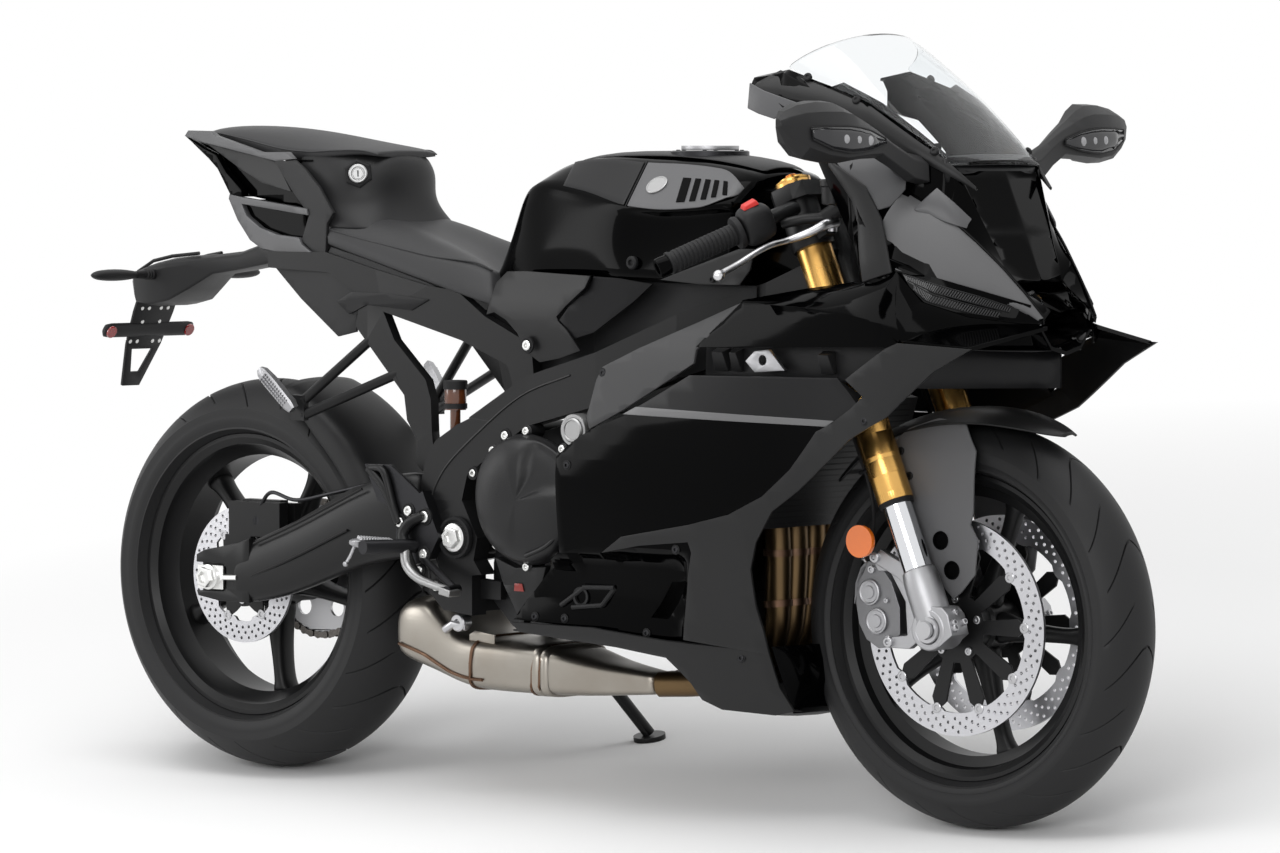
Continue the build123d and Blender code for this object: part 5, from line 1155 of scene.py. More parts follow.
def cowl():
    """The nose from the screen's rail down to the floor below the lamps, and the dashboard in it."""
    shell("cowl_rail", between(
        [(1130, 165, 1098), (1163, 151, 1116), (1247, 150, 1090), (1325, 142, 1061), (1385, 125, 1018),
         (1442, 107, 979), (1478, 91, 944)],
        [(1130, 173, 1086), (1168, 172, 1078), (1247, 163, 1064), (1325, 150, 1032), (1385, 133, 994),
         (1442, 110, 962), (1479, 90, 940)], 3, 3), "satin_paint", 1.5, 4, 1.4)
    shell("cowl_end", between([(1121, 172, 1098), (1150, 174, 1086), (1211, 173, 1068)],
                              [(1121, 177, 1060), (1142, 178, 1052), (1172, 178, 1044)], 1), "grey_paint", 1.5, 3, 1.2)
    # the cheek's grey is a painted highlight on the glossy black nose side
    shell("cowl_cheek_painted_highlight", between([(1293, 189, 984), (1330, 169, 992), (1357, 149, 999), (1391, 137, 974)],
                                [(1352, 188, 924), (1364, 182, 910), (1379, 167, 916), (1389, 144, 941)], 3, 2),
          "grey_paint", 1.5, 3, 1.2, out=(0.5, 1, 0))
    shell("cowl_inner_edge", between([(1288, 189, 983), (1322, 191, 964), (1352, 190, 946), (1369, 189, 919),
                                      (1381, 190, 900), (1393, 195, 868), (1410, 202, 821)],
                                     [(1282, 186, 977), (1306, 188, 950), (1328, 190, 925), (1340, 191, 891),
                                      (1346, 197, 860), (1350, 199, 834), (1356, 200, 806)], 3, 2), "satin_paint",
          3.5, 5, 1.4)
    shell("cowl_ledge", between([(1118, 186, 775), (1240, 189, 794), (1351, 192, 808), (1414, 197, 822),
                                 (1450, 184, 778)],
                                [(1150, 222, 772), (1260, 233, 768), (1345, 241, 761), (1398, 244, 752),
                                 (1454, 244, 722)], 3, 2), "gloss_black", 2.0, 3, 1.0)
    shell("cowl_under_lamp", between([(1414, 197, 818), (1450, 184, 778), (1500, 141, 757), (1549, 92, 748),
                                      (1564, 76, 745)],
                                     [(1440, 235, 735), (1456, 242, 722), (1500, 180, 718), (1540, 120, 716),
                                      (1568, 74, 716)], 3, 2), "gloss_black", 2.0, 3, 1.0, out=(0.6, 1, 0.2))
    for side, word in SIDES:
        wall = [[(x, side * y, z + k * (low - z)) for k in (0, 0.5, 1)] for x, y, z, low in
                ((1395, 196, 745, 655), (1432, 150, 735, 652), (1498, 66, 722, 652), (1530, 36, 716, 652),
                 (1566, 0, 710, 652))]
        piece("cowl_throat_" + word, *grid(wall), "satin_dark", thick=2.5)
    shell("cowl_side", between(NOSE_CREASE, LAMP_TOP, 6, 5), "cowl_grey", 1.8, 3.5, 1.2, out=(0.5, 1, 0.3))
    shell("cowl_brow", between([(1407, 147, 912), (1418, 134, 928), (1429, 121, 943), (1452, 110, 921),
                                (1475, 99, 897)],
                               [(1412, 142, 908), (1426, 134, 903), (1449, 126, 893), (1462, 117, 888),
                                (1473, 108, 884)], 2, 2), "grey_paint", 4.0, 3, 1.2, out=(1, 0.5, 0.5))
    shell("lamp_surround", between([(1400, 200, 836), (1467, 172, 814), (1520, 132, 795), (1570, 80, 774)],
                                   [(1400, 200, 770), (1450, 186, 752), (1505, 140, 738), (1560, 84, 734)], 3),
          "gloss_black", -4, 2, 0.5, out=(0.6, 1, 0))
    floor_rows = bands(((1404, 716, 190), (1450, 712, 140), (1500, 709, 96), (1556, 708, 62)), SIX_ACROSS)
    piece("chin_floor", *grid(floor_rows), "matte_plastic", thick=2)
    for side, word in SIDES:
        line = curve_points([(x + 1.5, side * y, z + 1.5) for x, y, z in NOSE_CREASE], 6)
        merge("cowl_crease_" + word, [tube(line, 2.2, 8)], "gloss_black")
    rows = bands(((1300, 988, 92), (1340, 986, 100), (1400, 984, 96), (1452, 974, 78)),
                 (-1, -0.75, -0.4, 0, 0.4, 0.75, 1))
    dished = [[(x, y, z - 9 * (1 - (y / 120) ** 2)) for x, y, z in row] for row in rows]
    piece("cowl_dash_shelf", *grid(dished), "matte_plastic", thick=2)
    case = [[(x, y, z) for y, z in ((-w, z0), (w, z0), (w, z1 - 5), (w - 5, z1), (-w + 5, z1), (-w, z1 - 5))]
            for x, w, z0, z1 in ((1263, 66, 970, 984), (1268, 70, 968, 992), (1284, 70, 976, 1007),
                                 (1300, 64, 992, 1010))]
    piece("dash_case", *solid(case), "matte_plastic", "chassis", ["dashboard"], edge=2)
    face = [[(x, y, z) for y in (-60, 0, 60)] for x, z in ((1262.5, 981), (1272, 995.5), (1281, 1007.5))]
    piece("dash_screen", *grid(face), "screen_black", thick=0.8)


def along(line, share):
    """The point this share of the way along a line of points."""
    at = share * (len(line) - 1)
    n = min(int(at), len(line) - 2)
    return Vector(line[n]).lerp(Vector(line[n + 1]), at - n)


def running_lights():
    """Two bars of fine ribs in a dark bed, each side."""
    top = [(1420, 192, 820), (1467, 163, 804), (1516, 124, 787), (1554, 88, 768)]
    low = [(1430, 188, 800), (1452, 178, 775), (1499, 138, 759), (1547, 91, 750)]
    shell("lamp_bed", between(top, low, 2), "lamp_dark", 2.5, 4, 0.8, ["running_lights"], (0.6, 1, 0))
    outward = Vector((0.55, 0.8, 0.1))
    out = outward.normalized()
    for side, word in SIDES:
        ribs, frames = [], []
        for count, t0, t1, first, last in ((46, 0.10, 0.38, 0.03, 0.94), (38, 0.55, 0.84, 0.10, 0.88)):
            for i in range(count):
                u = first + (last - first) * i / count
                v = u + 0.55 * (last - first) / count
                corners = [along(top, k).lerp(along(low, k), t) for k, t in ((u, t0), (v, t0), (v, t1), (u, t1))]
                ribs.append(solid([flip([c + out * lift for c in corners], side) for lift in (2.2, 5.2)]))
            for t in (t0 - 0.03, t1 + 0.03):
                line = [along(top, k).lerp(along(low, k), t) + outward * 4.5
                        for k in (first + (last - first) * n / 12 for n in range(13))]
                frames.append(tube(flip(line, side), 1.1, 6))
        merge("lamp_ribs_" + word, ribs, "lamp_rib")
        merge("lamp_frames_" + word, frames, "satin_dark")


def mirrors():
    """Pods on stalks, with the turn signal in each leading face and the glass behind."""
    pods = (
        (424, (1370, 1030), (1370, 1042), (1374, 1042), (1378, 1039), (1380, 1035), (1379, 1031), (1374, 1029)),
        (410, (1363, 1009), (1363, 1054), (1374, 1053), (1386, 1045), (1389, 1033), (1388, 1015), (1377, 1006)),
        (382, (1360, 990), (1360, 1064), (1376, 1062), (1394, 1051), (1400, 1033), (1401, 1003), (1384, 986)),
        (345, (1359, 984), (1359, 1069), (1380, 1067), (1400, 1053), (1409, 1034), (1411, 991), (1386, 980)),
        (308, (1360, 983), (1360, 1069), (1382, 1066), (1402, 1053), (1412, 1034), (1414, 987), (1388, 979)),
        (284, (1364, 992), (1364, 1058), (1384, 1058), (1402, 1049), (1412, 1032), (1414, 989), (1390, 982)),
        (258, (1371, 1002), (1371, 1040), (1386, 1044), (1401, 1040), (1411, 1028), (1412, 991), (1392, 985)),
        (225, (1377, 1000), (1377, 1024), (1388, 1028), (1400, 1027), (1409, 1018), (1410, 993), (1394, 986)),
        (190, (1382, 984), (1382, 1004), (1390, 1009), (1400, 1009), (1411, 1001), (1412, 976), (1396, 971)),
        (158, (1379, 964), (1379, 989), (1388, 995), (1402, 995), (1416, 985), (1418, 958), (1400, 953)),
        (128, (1377, 960), (1377, 984), (1386, 990), (1404, 990), (1420, 978), (1422, 952), (1400, 948)))
    for side, word in SIDES:
        piece("mirror_pod_" + word, *solid([[(x, side * y, z) for x, z in points] for y, *points in pods]),
              "satin_plastic", "chassis", ["mirrors"], edge=2.5, sharp=18)
    for side, word in SIDES:
        rows = [[(1359, side * y, z0), (1357, side * y, z0 + (z1 - z0) * 0.3),
                 (1357, side * y, z0 + (z1 - z0) * 0.7), (1359, side * y, z1)] for y, z0, z1 in
                ((280, 1000, 1046), (300, 990, 1060), (345, 990, 1063), (380, 996, 1058), (404, 1013, 1049))]
        verts, faces = grid(rows)
        piece("mirror_bezel_" + word, verts, faces, "rubber", thick=3, subdiv=1)
        shrunk = [(1352, side * 342 + (y - side * 342) * 0.9, 1027 + (z - 1027) * 0.88) for x, y, z in verts]
        piece("mirror_glass_" + word, shrunk, faces, "mirror_glass", thick=1.5, subdiv=1)
        lens_top = [(1411, 222, 1014), (1413, 258, 1025), (1414, 284, 1029), (1414, 308, 1031), (1411, 345, 1031),
                    (1402, 382, 1029)]
        lens_low = [(1411, 220, 1008), (1414, 258, 999), (1416, 284, 996), (1416, 308, 995), (1413, 345, 1000),
                    (1403, 380, 1014)]
        line = between(flip(lens_top, side), flip(lens_low, side), 4, 3, (1, 0, 0))
        piece("mirror_lens_" + word, *grid(line), "smoke_lens", thick=2)
        merge("mirror_leds_" + word, [
            lathe([(0, 7.5), (2, 7.2), (4.2, 4.5), (5, 0.01)], (1414, side * y, z), (1, side * 0.1, 0.1), 16)
            for y, z in ((262, 1012), (290, 1013), (318, 1014))], "led_clear")
        rim_line = [(x + 1.5, side * y, z + 1) for x, y, z in lens_top]
        rim_low = [(x + 1.5, side * y, z - 1) for x, y, z in reversed(lens_low)]
        merge("mirror_lens_rim_" + word, [tube(rim_line + rim_low + rim_line[:1], 1.3, 6)], "rubber")


# ------------------------------------------------------------------ steering
def local(t, y, ahead, side):
    """A point t up the fork leg from the axle, and ahead of it."""
    return FRONT_AXLE + FORK_UP * t + FORK_AHEAD * ahead + Vector((0, side * y, 0))


def fork_slab(outline, y0, y1, side):
    """A plate in the fork's plane.  outline: (ahead, t)."""
    rows = [[local(t, y, a, side) for a, t in outline] for y in (y0, y1)]
    return solid(rows)


def forks(side, word):
    """A fork leg with its foot, caliper and brake line."""
    at = local(0, FORK_Y, 0, side)

    def add(name, parts, finish, **more):
        merge(name + word, parts, finish, "steering", **more)
    add("fork_tube_", [lathe([
        (198, 21.8), (198, 25.5), (202, 27), (212, 27), (213, 26.2), (238, 26.2), (239, 27.4), (262, 27.4),
        (263, 26.0), (268, 26.0), (269, 27.6), (300, 27.6), (304, 26.6), (380, 26.4), (414, 27.2)], at, FORK_UP,
        48)], "gold", sharp=30)
    add("fork_seal_", [lathe([(193, 22), (193, 25.4), (197.5, 26.2), (200, 26.2), (200, 22)], at, FORK_UP, 40)],
        "rubber", sharp=30)
    add("fork_slider_", [lathe([(78, 21.7), (196, 21.7)], at, FORK_UP, 48)], "chrome")
    add("fork_cap_", [
        lathe([(698, 24), (704, 27.2), (707, 27.2), (708, 22), (708, 16)], at, FORK_UP, 40),
        lathe([(706, 16), (711, 16), (712, 14), (712, 0.01)], at, FORK_UP, 6)], "gold", sharp=30)
    add("clip_on_clamp_", [
        lathe([(600, 26), (600, 31), (603, 32.5), (640, 32.5), (643, 31), (643, 28), (688, 28)], at, FORK_UP, 40),
        fork_slab([(26, 604), (44, 606), (44, 636), (26, 640)], 100, 124, side)], "satin_black",
        sharp=35)
    add("fork_adjuster_", [lathe([(711, 9), (716, 9), (717, 7.5), (717, 0.01)], at, FORK_UP, 20)],
          "orange_anodised", sharp=30)
    foot = [(-14, 24), (4, 27.5), (60, 27.5), (76, 27), (86, 25.5), (92, 24.5), (93, 21.9)]
    parts = [lathe(foot, at, FORK_UP, 40),
             lathe([(-27, 20), (-27, 29), (-25, 31), (20, 31), (24, 29), (24, 21), (20, 20), (20, 13)],
                   at, (0, side, 0), 40),
             fork_slab([(8, -30), (38, -22), (42, 8), (36, 22), (18, 30)], 86, 128, side)]
    for outline, y0, y1 in (
            ([(-10, 74), (-22, 52), (-46, 96), (-84, 138), (-60, 146), (-34, 118), (-12, 92)], 84, 98),
            ([(-12, 22), (-24, 2), (-66, -8), (-104, 8), (-98, 22), (-62, 12), (-26, 34)], 84, 98),
            ([(-34, 118), (-60, 146), (-84, 138), (-80, 118), (-60, 112), (-50, 60), (-66, 12), (-62, 4), (-46, 8),
              (-34, 60)], 85, 92)):
        parts.append(fork_slab(outline, y0, y1, side))
    add("fork_foot_", parts, "cast_alloy", replaces=["fork_lowers"], edge=2.0, sharp=35)
    small = [lathe([(24, 20), (27, 19), (27, 14), (20, 13)], at, (0, side, 0), 32),
             lathe([(14, 13.5), (26, 12.5), (26, 8.5), (17, 8)], at, (0, side, 0), 6)]
    for t in (-12, 12):
        small.append(bolt(local(t, 104 if t > 0 else 118, 39, side), FORK_AHEAD, 6, 5))
    for y in (94, 118):
        small.append(bolt(local(-4, y, 40, side), FORK_AHEAD, 5.5, 5))
    for a, t in ((-72, 138), (-96, 14)):
        small.append(bolt(local(t, 98, a, side), (0, side, 0), 8, 6))
    add("fork_foot_bolts_", small, "steel", sharp=30)
    # the axle's hex socket is near black: painted shade
    add("foot_hex_hole_", [lathe([(15, 9), (16, 8.6), (16, 0.01)], at, (0, side, 0), 6)], "hole_black")
    caliper = [(-112, 134), (-94, 140), (-76, 128), (-66, 96), (-66, 56), (-80, 20), (-98, 8), (-126, 14),
               (-142, 34), (-146, 60), (-140, 90), (-126, 118)]
    inner = [(a * 0.98 - 2, t) for a, t in caliper]
    bridge = [(-108, 136), (-98, 140), (-91, 138), (-103, 128), (-118, 115), (-131, 100), (-138, 91),
              (-140, 90), (-126, 118)]
    add("caliper_body_", [fork_slab(caliper, 65, 88, side), fork_slab(inner, 37, 52, side),
                          fork_slab([(a - 4, t) for a, t in bridge], 37, 88, side)],
        "caliper_alloy", replaces=["front_calipers"], edge=3.0, sharp=30)
    piston_cap = [(0, 20), (4, 19), (5, 17), (3.4, 15), (3.4, 10), (5.4, 9), (5.4, 0.01)]
    add("caliper_caps_", [lathe(piston_cap, local(t, 88, ahead, side), (0, side, 0), 32)
                          for ahead, t in ((-108, 96), (-112, 52))], "cast_alloy", sharp=30)
    more = [bolt(local(t, 88, ahead, side), (0, side, 0), r, high) for t, ahead, r, high in
            ((126, -92, 6, 5), (20, -102, 6, 5), (74, -84, 4, 4))] + [
            lathe([(0, 4), (7, 4), (8, 3), (14, 3), (15, 4), (18, 3.4), (18, 0.01)], local(134, 76, -104, side),
                  FORK_UP - FORK_AHEAD * 0.4, 14)]
    add("caliper_bolts_", more, "steel", sharp=30)
    pads = [fork_slab([(-100, 116), (-84, 110), (-78, 60), (-90, 28), (-108, 34), (-112, 80)], 63.6, 66, side)]
    add("caliper_pads_", pads, "engine_black")
    line = curve_points([local(134, 72, -112, side), local(190, 84, -66, side), local(240, 96, -44, side),
                         local(330, 100, -40, side), local(410, 96, -36, side)], 8)
    add("brake_line_", [tube(line, 3.2, 8)], "rubber")
    add("brake_line_clips_", [
        tube([local(t, 80, -50, side), local(t, 100, -50, side), local(t, 104, -28, side)], 2.6, 8)
        for t in (262, 330)], "dark_alloy")


FENDER_SIDE = [(1304, 560), (1318, 545), (1331, 520), (1352, 470), (1381, 398), (1404, 362), (1426, 342), (1440, 352),
               (1465, 379), (1471, 430), (1458, 452), (1463, 470), (1464, 520), (1466, 560), (1440, 600), (1390, 606),
               (1340, 590)]


def fender():
    """The crown over the tyre and the side plates down to the fork's foot."""
    rows = []
    for deg, r, w in ((-47, 322, 60), (-38, 324, 66), (-26, 326, 69), (-12, 327, 70), (2, 328, 69), (12, 330, 62),
                      (20, 332, 50), (26, 333, 34), (30, 334, 14)):
        a = math.radians(deg)
        row = []
        for k in (-1, -0.9, -0.72, -0.45, 0, 0.45, 0.72, 0.9, 1):
            drop = 24 * abs(k) ** 3 * w / 70
            rr = r - drop - 3
            row.append((FRONT_AXLE.x + rr * math.sin(a), w * k, FRONT_AXLE.z + rr * math.cos(a)))
        rows.append(row)
    top = piece("fender_crown", *grid(rows), "satin_paint", "steering", ["front_fender"], subdiv=2)
    add_wall(top, 3, 0)
    holes = [round_line(1404, 427, 13.5, 20), round_line(1424, 384, 13.5, 20), round_line(1347, 520, 6, 14)]
    for side, word in SIDES:
        panel("fender_side_" + word, FENDER_SIDE, "fender_grey",
              lambda x, z: 74 - 10 * max(0, (z - 540) / 60) ** 2 + 3 * math.sin((z - 340) / 90), side, 0, 3, 1.4,
              cell=16, holes=holes, body="steering")
        # near-black cups in the fender's holes: painted shade
        cups = [lathe([(0, 14), (1.6, 13.5), (1.6, 12), (-4, 11.5), (-4, 0.01)],
                      (x, side * (74 + 3 * math.sin((z - 340) / 90)), z), (0, side, 0), 28)
                for x, z in ((1404, 427), (1424, 384))]
        merge("fender_hole_cups_" + word, cups, "hole_black", "steering", sharp=40)
        merge("fender_bolts_" + word, [bolt((x, side * 75, z), (0, side, 0), 6, 4)
                                       for x, z in ((1347, 520), (1330, 556))], "rubber", "steering", sharp=30)


def handlebars(side, word):
    """A clip-on bar with its grip, switches, lever and mount."""
    def add(name, parts, finish, **more):
        merge(name + word, parts, finish, "steering", **more)

    inner, flange, end = (Vector((1176, side * 132, 915)), Vector((1145, side * 230, 877)),
                          Vector((1079, side * 330, 826)))
    way = (end - flange).normalized()
    long = (end - flange).length
    add("clip_on_", [tube([inner, flange.lerp(inner, 0.4), flange, end - way * 10], 11, 20)],
          "satin_black", replaces=["handlebars"])
    grip = [(0, 12)]
    for i in range(15):
        at = 6 + i * (long - 30) / 15
        step = (long - 30) / 15
        grip += [(at, 15.6), (at + step * 0.12, 16.6), (at + step * 0.72, 16.6), (at + step * 0.84, 15.6)]
    grip += [(long - 20, 15.6), (long - 19, 17.4), (long - 15, 17.4), (long - 14, 12)]
    add("grip_", [lathe(grip, flange, way, 40)], "rubber", sharp=40)
    add("grip_flange_", [lathe([(-4, 12), (-4, 24), (0, 25), (4, 24), (6, 18), (6, 12)], flange, way, 40)],
          "rubber", sharp=35)
    weight = [(long - 15, 11), (long - 14, 14.5), (long - 2, 15.2), (long + 4, 14.2), (long + 4, 9),
              (long - 2, 8), (long - 2, 0.01)]
    add("bar_weight_", [lathe(weight, flange, way, 32)], "gloss_black", sharp=30)
    up = Vector((0.25, 0, 0.97))
    up = (up - way * up.dot(way)).normalized()
    cross = way.cross(up)
    pod = []
    for d, w0, w1, h0, h1 in ((-58, -15, 17, -20, 20), (-50, -22, 24, -26, 28), (-28, -25, 28, -30, 34),
                              (-12, -24, 26, -28, 30), (-5, -17, 18, -20, 20)):
        pod.append([flange + way * d + cross * u + up * v for u, v in
                    ((w0, h0 * 0.6), (w0 * 0.6, h0), (w1 * 0.6, h0), (w1, h0 * 0.6), (w1, h1 * 0.6),
                     (w1 * 0.6, h1), (w0 * 0.6, h1), (w0, h1 * 0.6))])
    add("switch_pod_", [solid(pod)], "matte_plastic", subdiv=2)
    at = flange - way * 30 + up * 30
    rocker = [at + way * u + cross * v + up * w for u, v, w in
              ((-13, -9, 0), (13, -9, 0), (13, 9, 0), (-13, 9, 0), (-10, -7, 8), (10, -7, 6), (10, 7, 6),
               (-10, 7, 8))]
    piece("switch_rocker_" + word, rocker, [[0, 1, 2, 3], [4, 5, 6, 7], [0, 1, 5, 4], [1, 2, 6, 5], [2, 3, 7, 6],
                                            [3, 0, 4, 7]], "red_switch" if side < 0 else "satin_plastic",
          "steering", edge=1.5)
    pivot = Vector((1238, side * 122, 891))
    path = [(1240, 118, 893), (1238, 140, 889), (1224, 158, 878), (1202, 182, 866), (1199, 215, 860),
            (1195, 245, 850), (1190, 285, 832), (1188, 318, 820)]
    line = curve_points(flip(path, side), 5)
    n = len(line)
    lever = tube(line, 5, 12, taper=[9 - 4.2 * min(1, i / (n * 0.45)) for i in range(n)])
    ball = lathe([(-8.5, 0.01), (-7.4, 4.4), (-4.3, 7.4), (0, 8.6), (4.3, 7.4), (7.4, 4.4), (8.5, 0.01)],
                 (1187, side * 326, 816), (0, 1, 0), 24)
    add("lever_", [lever, ball], "lever_alloy", sharp=50)
    add("lever_bolts_", [lathe([(-12, 7), (12, 7), (13, 5), (13, 0.01)], pivot, (0.1, 0, 1), 20)],
          "steel", sharp=30)
    master = [tube([(1225, side * 128, 898), (1262, side * 118, 921), (1286, side * 114, 938)], 12, 16),
              tube([(1240, side * 122, 900), (1206, side * 150, 897), (1172, side * 158, 890)], 8, 12)]
    add("lever_mount_", master, "satin_black", sharp=40)
    if side < 0:
        merge("brake_fluid_cup", [lathe([(-16, 14), (-14, 17), (10, 18), (12, 20), (20, 20), (22, 18), (22, 0.01)],
                                        (1262, -152, 934), (0, 0, 1), 32),
                                  tube([(1262, -150, 920), (1266, -132, 922)], 4, 8)], "satin_black", "steering",
              sharp=30)


# ------------------------------------------------------------------ engine, frame and rear
TREES = {}


def node_side(names, x, z, side, fallback):
    """How far out the outermost of these nodes is at (x, z), in mm from the middle plane."""
    key = tuple(names)
    if key not in TREES:
        back = TO_ROW.inverted()
        verts, faces = [], []
        for name in names:
            mesh = frame["nodes"][name].data
            base = len(verts)
            verts += [back @ (frame["nodes"][name].matrix_world @ v.co) for v in mesh.vertices]
            faces += [[i + base for i in p.vertices] for p in mesh.polygons]
        TREES[key] = BVHTree.FromPolygons(verts, faces)
    hit = TREES[key].ray_cast(Vector((x, side * 500, z)), Vector((0, -side, 0)))[0]
    return abs(hit.y) if hit is not None else fallback


# silencer sections: x, lowest and highest z, lowest and highest y
SILENCER = [
    (346, 216, 262, -96, 20), (362, 200, 290, -110, 60), (392, 190, 300, -116, 78), (424, 181, 297, -117, 84),
    (450, 174, 274, -117, 86), (482, 165, 250, -117, 86), (520, 158, 242, -117, 84), (570, 156, 240, -115, 78),
    (612, 156, 236, -112, 66), (640, 156, 234, -108, 50), (690, 157, 226, -103, 30), (750, 160, 214, -94, 10),
    (806, 164, 206, -84, -6), (860, 168, 200, -78, -20)]


SQUARE = 0.45
HEADER_Y = (-66, -22, 22, 66)


def silencer_point(x, a, lift=0.0):
    xs = [row[0] for row in SILENCER]
    z0, z1, y0, y1 = (smooth_at(xs, [row[k] for row in SILENCER], x) for k in (1, 2, 3, 4))
    u = abs(math.cos(a)) ** SQUARE * math.copysign(1, math.cos(a))
    v = abs(math.sin(a)) ** SQUARE * math.copysign(1, math.sin(a))
    return Vector((x, (y0 + y1) / 2 - u * ((y1 - y0) / 2 + lift), (z0 + z1) / 2 + v * ((z1 - z0) / 2 + lift)))


def exhaust():
    """The silencer with its welds and collar, the tail pipe and the four header pipes."""
    rows = [[silencer_point(346 + 514 * (i / 32), a) for a in angles(28)] for i in range(33)]
    piece("silencer_shell", *solid(rows), "raw_steel", "chassis", ["muffler"], subdiv=1)
    ridge = []
    for x, lean in ((520, 8), (640, 10), (654, 10)):
        loop = [silencer_point(x + lean * math.sin(TURN * k / 40) + (6 if k % 2 else 5.2) - 5,
                               TURN * k / 40, 0.6) for k in range(41)]
        ridge.append(tube(loop, 2.6, 6))
    seam = []
    for k in range(90):
        x = 366 + 2.0 * k
        seam.append(silencer_point(x, -0.16 - 0.10 * math.sin(k / 40), 0.5 + 0.5 * (k % 2)))
    ridge.append(tube(seam, 2.4, 6))
    merge("silencer_welds", ridge, "weld_brown")
    collar = []
    for x in (646, 662):
        rows = [[silencer_point(x + dx, a, lift) for a in angles(40)]
                for dx, lift in ((-7, 0), (-5, 3), (5, 3), (7, 0))]
        collar.append(grid(rows, close=True))
    merge("silencer_collar", collar, "raw_steel", sharp=60)
    plate = [(508, 246), (520, 252), (560, 247), (560, 232), (508, 236)]
    panel("silencer_bracket", plate, "raw_steel", lambda x, z: 106, -1, 0, 4, 1)
    merge("silencer_hanger", [tube([(470, -118, 252), (490, -122, 262), (512, -116, 258)], 7, 12),
                              lathe([(-10, 14), (8, 14), (10, 12), (10, 6), (6, 5), (6, 0.01)], (500, -116, 264),
                                    (0, -1, 0), 24)], "steel", sharp=35)
    merge("tail_pipe", [lathe([(-30, 24), (0, 24), (1, 22.5), (-26, 21), (-26, 0.01)], (372, -60, 214),
                              (-0.9, -0.2, -0.35), 32)], "bronze_steel", sharp=40)
    lines = []
    for y in HEADER_Y:
        lines.append(tube(curve_points([(1010, y, 500), (1072, y, 492), (1088, y * 0.98, 440), (1086, y * 0.9, 340),
                                        (1070, y * 0.75, 260), (1020, y * 0.6, 212), (940, y * 0.45 - 18, 190),
                                        (860, y * 0.3 - 44, 184)], 6), 19.5, 20))
    merge("header_pipes", lines, "bronze_steel", "chassis", ["exhaust_headers"])
    collars = []
    for y in HEADER_Y:
        for at, way in (((1087.5, y * 0.94, 395), (0, 0, 1)), ((1084, y * 0.87, 318), (-0.1, 0, 1))):
            collars.append(lathe([(-5, 20), (-5, 22.5), (5, 22.5), (5, 20)], at, way, 24))
    merge("header_bands", collars, "weld_brown", sharp=40)


def engine_cover():
    """The round cover with its bolts, ribs and oil cap, and the sump's guard."""
    centre = (688, 0, 464)

    def around(r, a):
        """The cover's slightly squeezed round: x and z at this radius and angle."""
        squeeze = 1 + 0.05 * math.cos(2 * a + 0.6) + 0.03 * math.cos(3 * a)
        return centre[0] + r * squeeze * math.cos(a) * 0.98, centre[2] + r * squeeze * math.sin(a) * 1.04

    for side, word in SIDES:
        face = 205 if side < 0 else 186
        rows = []
        for r, y in ((101, face - 62), (101, face - 44), (97, face - 40), (96, face - 26), (91, face - 18),
                     (80, face - 9), (62, face - 3), (36, face), (4, face)):
            ring = []
            for x, z in (around(r, a) for a in angles(42)):
                dip = 14 if side < 0 and r < 92 and x - centre[0] > 8 and z - centre[2] > 14 else 0
                cut = -2 if side < 0 and r < 70 and x - centre[0] < -6 else 0
                ring.append((x, side * (y - dip - (x - centre[0]) * 0.08 - cut), z))
            rows.append(ring)
        piece("clutch_cover_" + word, *solid(rows), "engine_black", "chassis",
              ["engine_covers"] if side < 0 else [], subdiv=1)
        rim_bolts, bosses = [], []
        for deg in (98, 140, 180, 222, 262, 300, 338, 16, 52):
            x, z = around(104, math.radians(deg))
            at = (x, side * (face - 46), z)
            bosses.append(lathe([(-30, 10), (0, 9), (1, 8), (1, 0.01)], at, (0, side, 0), 18))
            rim_bolts.append(bolt((at[0], at[1] + side, at[2]), (0, side, 0), 6.4, 5))
        merge("cover_bosses_" + word, bosses, "engine_black", sharp=40)
        merge("cover_bolts_" + word, rim_bolts, "bright_steel", sharp=30)
        merge("oil_cap_" + word, [lathe(profile, (782, side * 176, 574), (0, side, 0), 36) for profile in (
            [(-20, 25), (0, 25), (2, 24), (2, 19.5), (0, 18.5), (0, 0.01)],
            [(0, 19), (4, 19), (6, 17), (6, 15), (4.6, 14), (4.6, 0.01)])], "satin_alloy", sharp=30)
        foot = [(610, 372), (650, 358), (712, 362), (700, 330), (668, 292), (655, 262), (646, 290), (624, 330)]
        panel("sump_guard_" + word, foot, "engine_black", lambda x, z: 150 + (z - 260) * 0.10, side, 0, 18, 2.5,
              cell=30)
        panel("oil_window_" + word, [(646, 322), (666, 322), (663, 334), (648, 334)], "oil_red",
              lambda x, z: 151.5 + (z - 260) * 0.10, side, 0.6, 1.5, 0.4)
        ribs = [tube(curve_points([(700, side * (face - 12), 380), (740, side * (face - 16), 398),
                                   (768, side * (face - 28), 430)], 8), 3.2, 8),
                tube([(776, side * (face - 44), 410), (782, side * (face - 44), 452), (772, side * (face - 44), 458),
                      (766, side * (face - 44), 412), (776, side * (face - 44), 410)], 2.4, 8)]
        merge("cover_ribs_" + word, ribs, "engine_black")


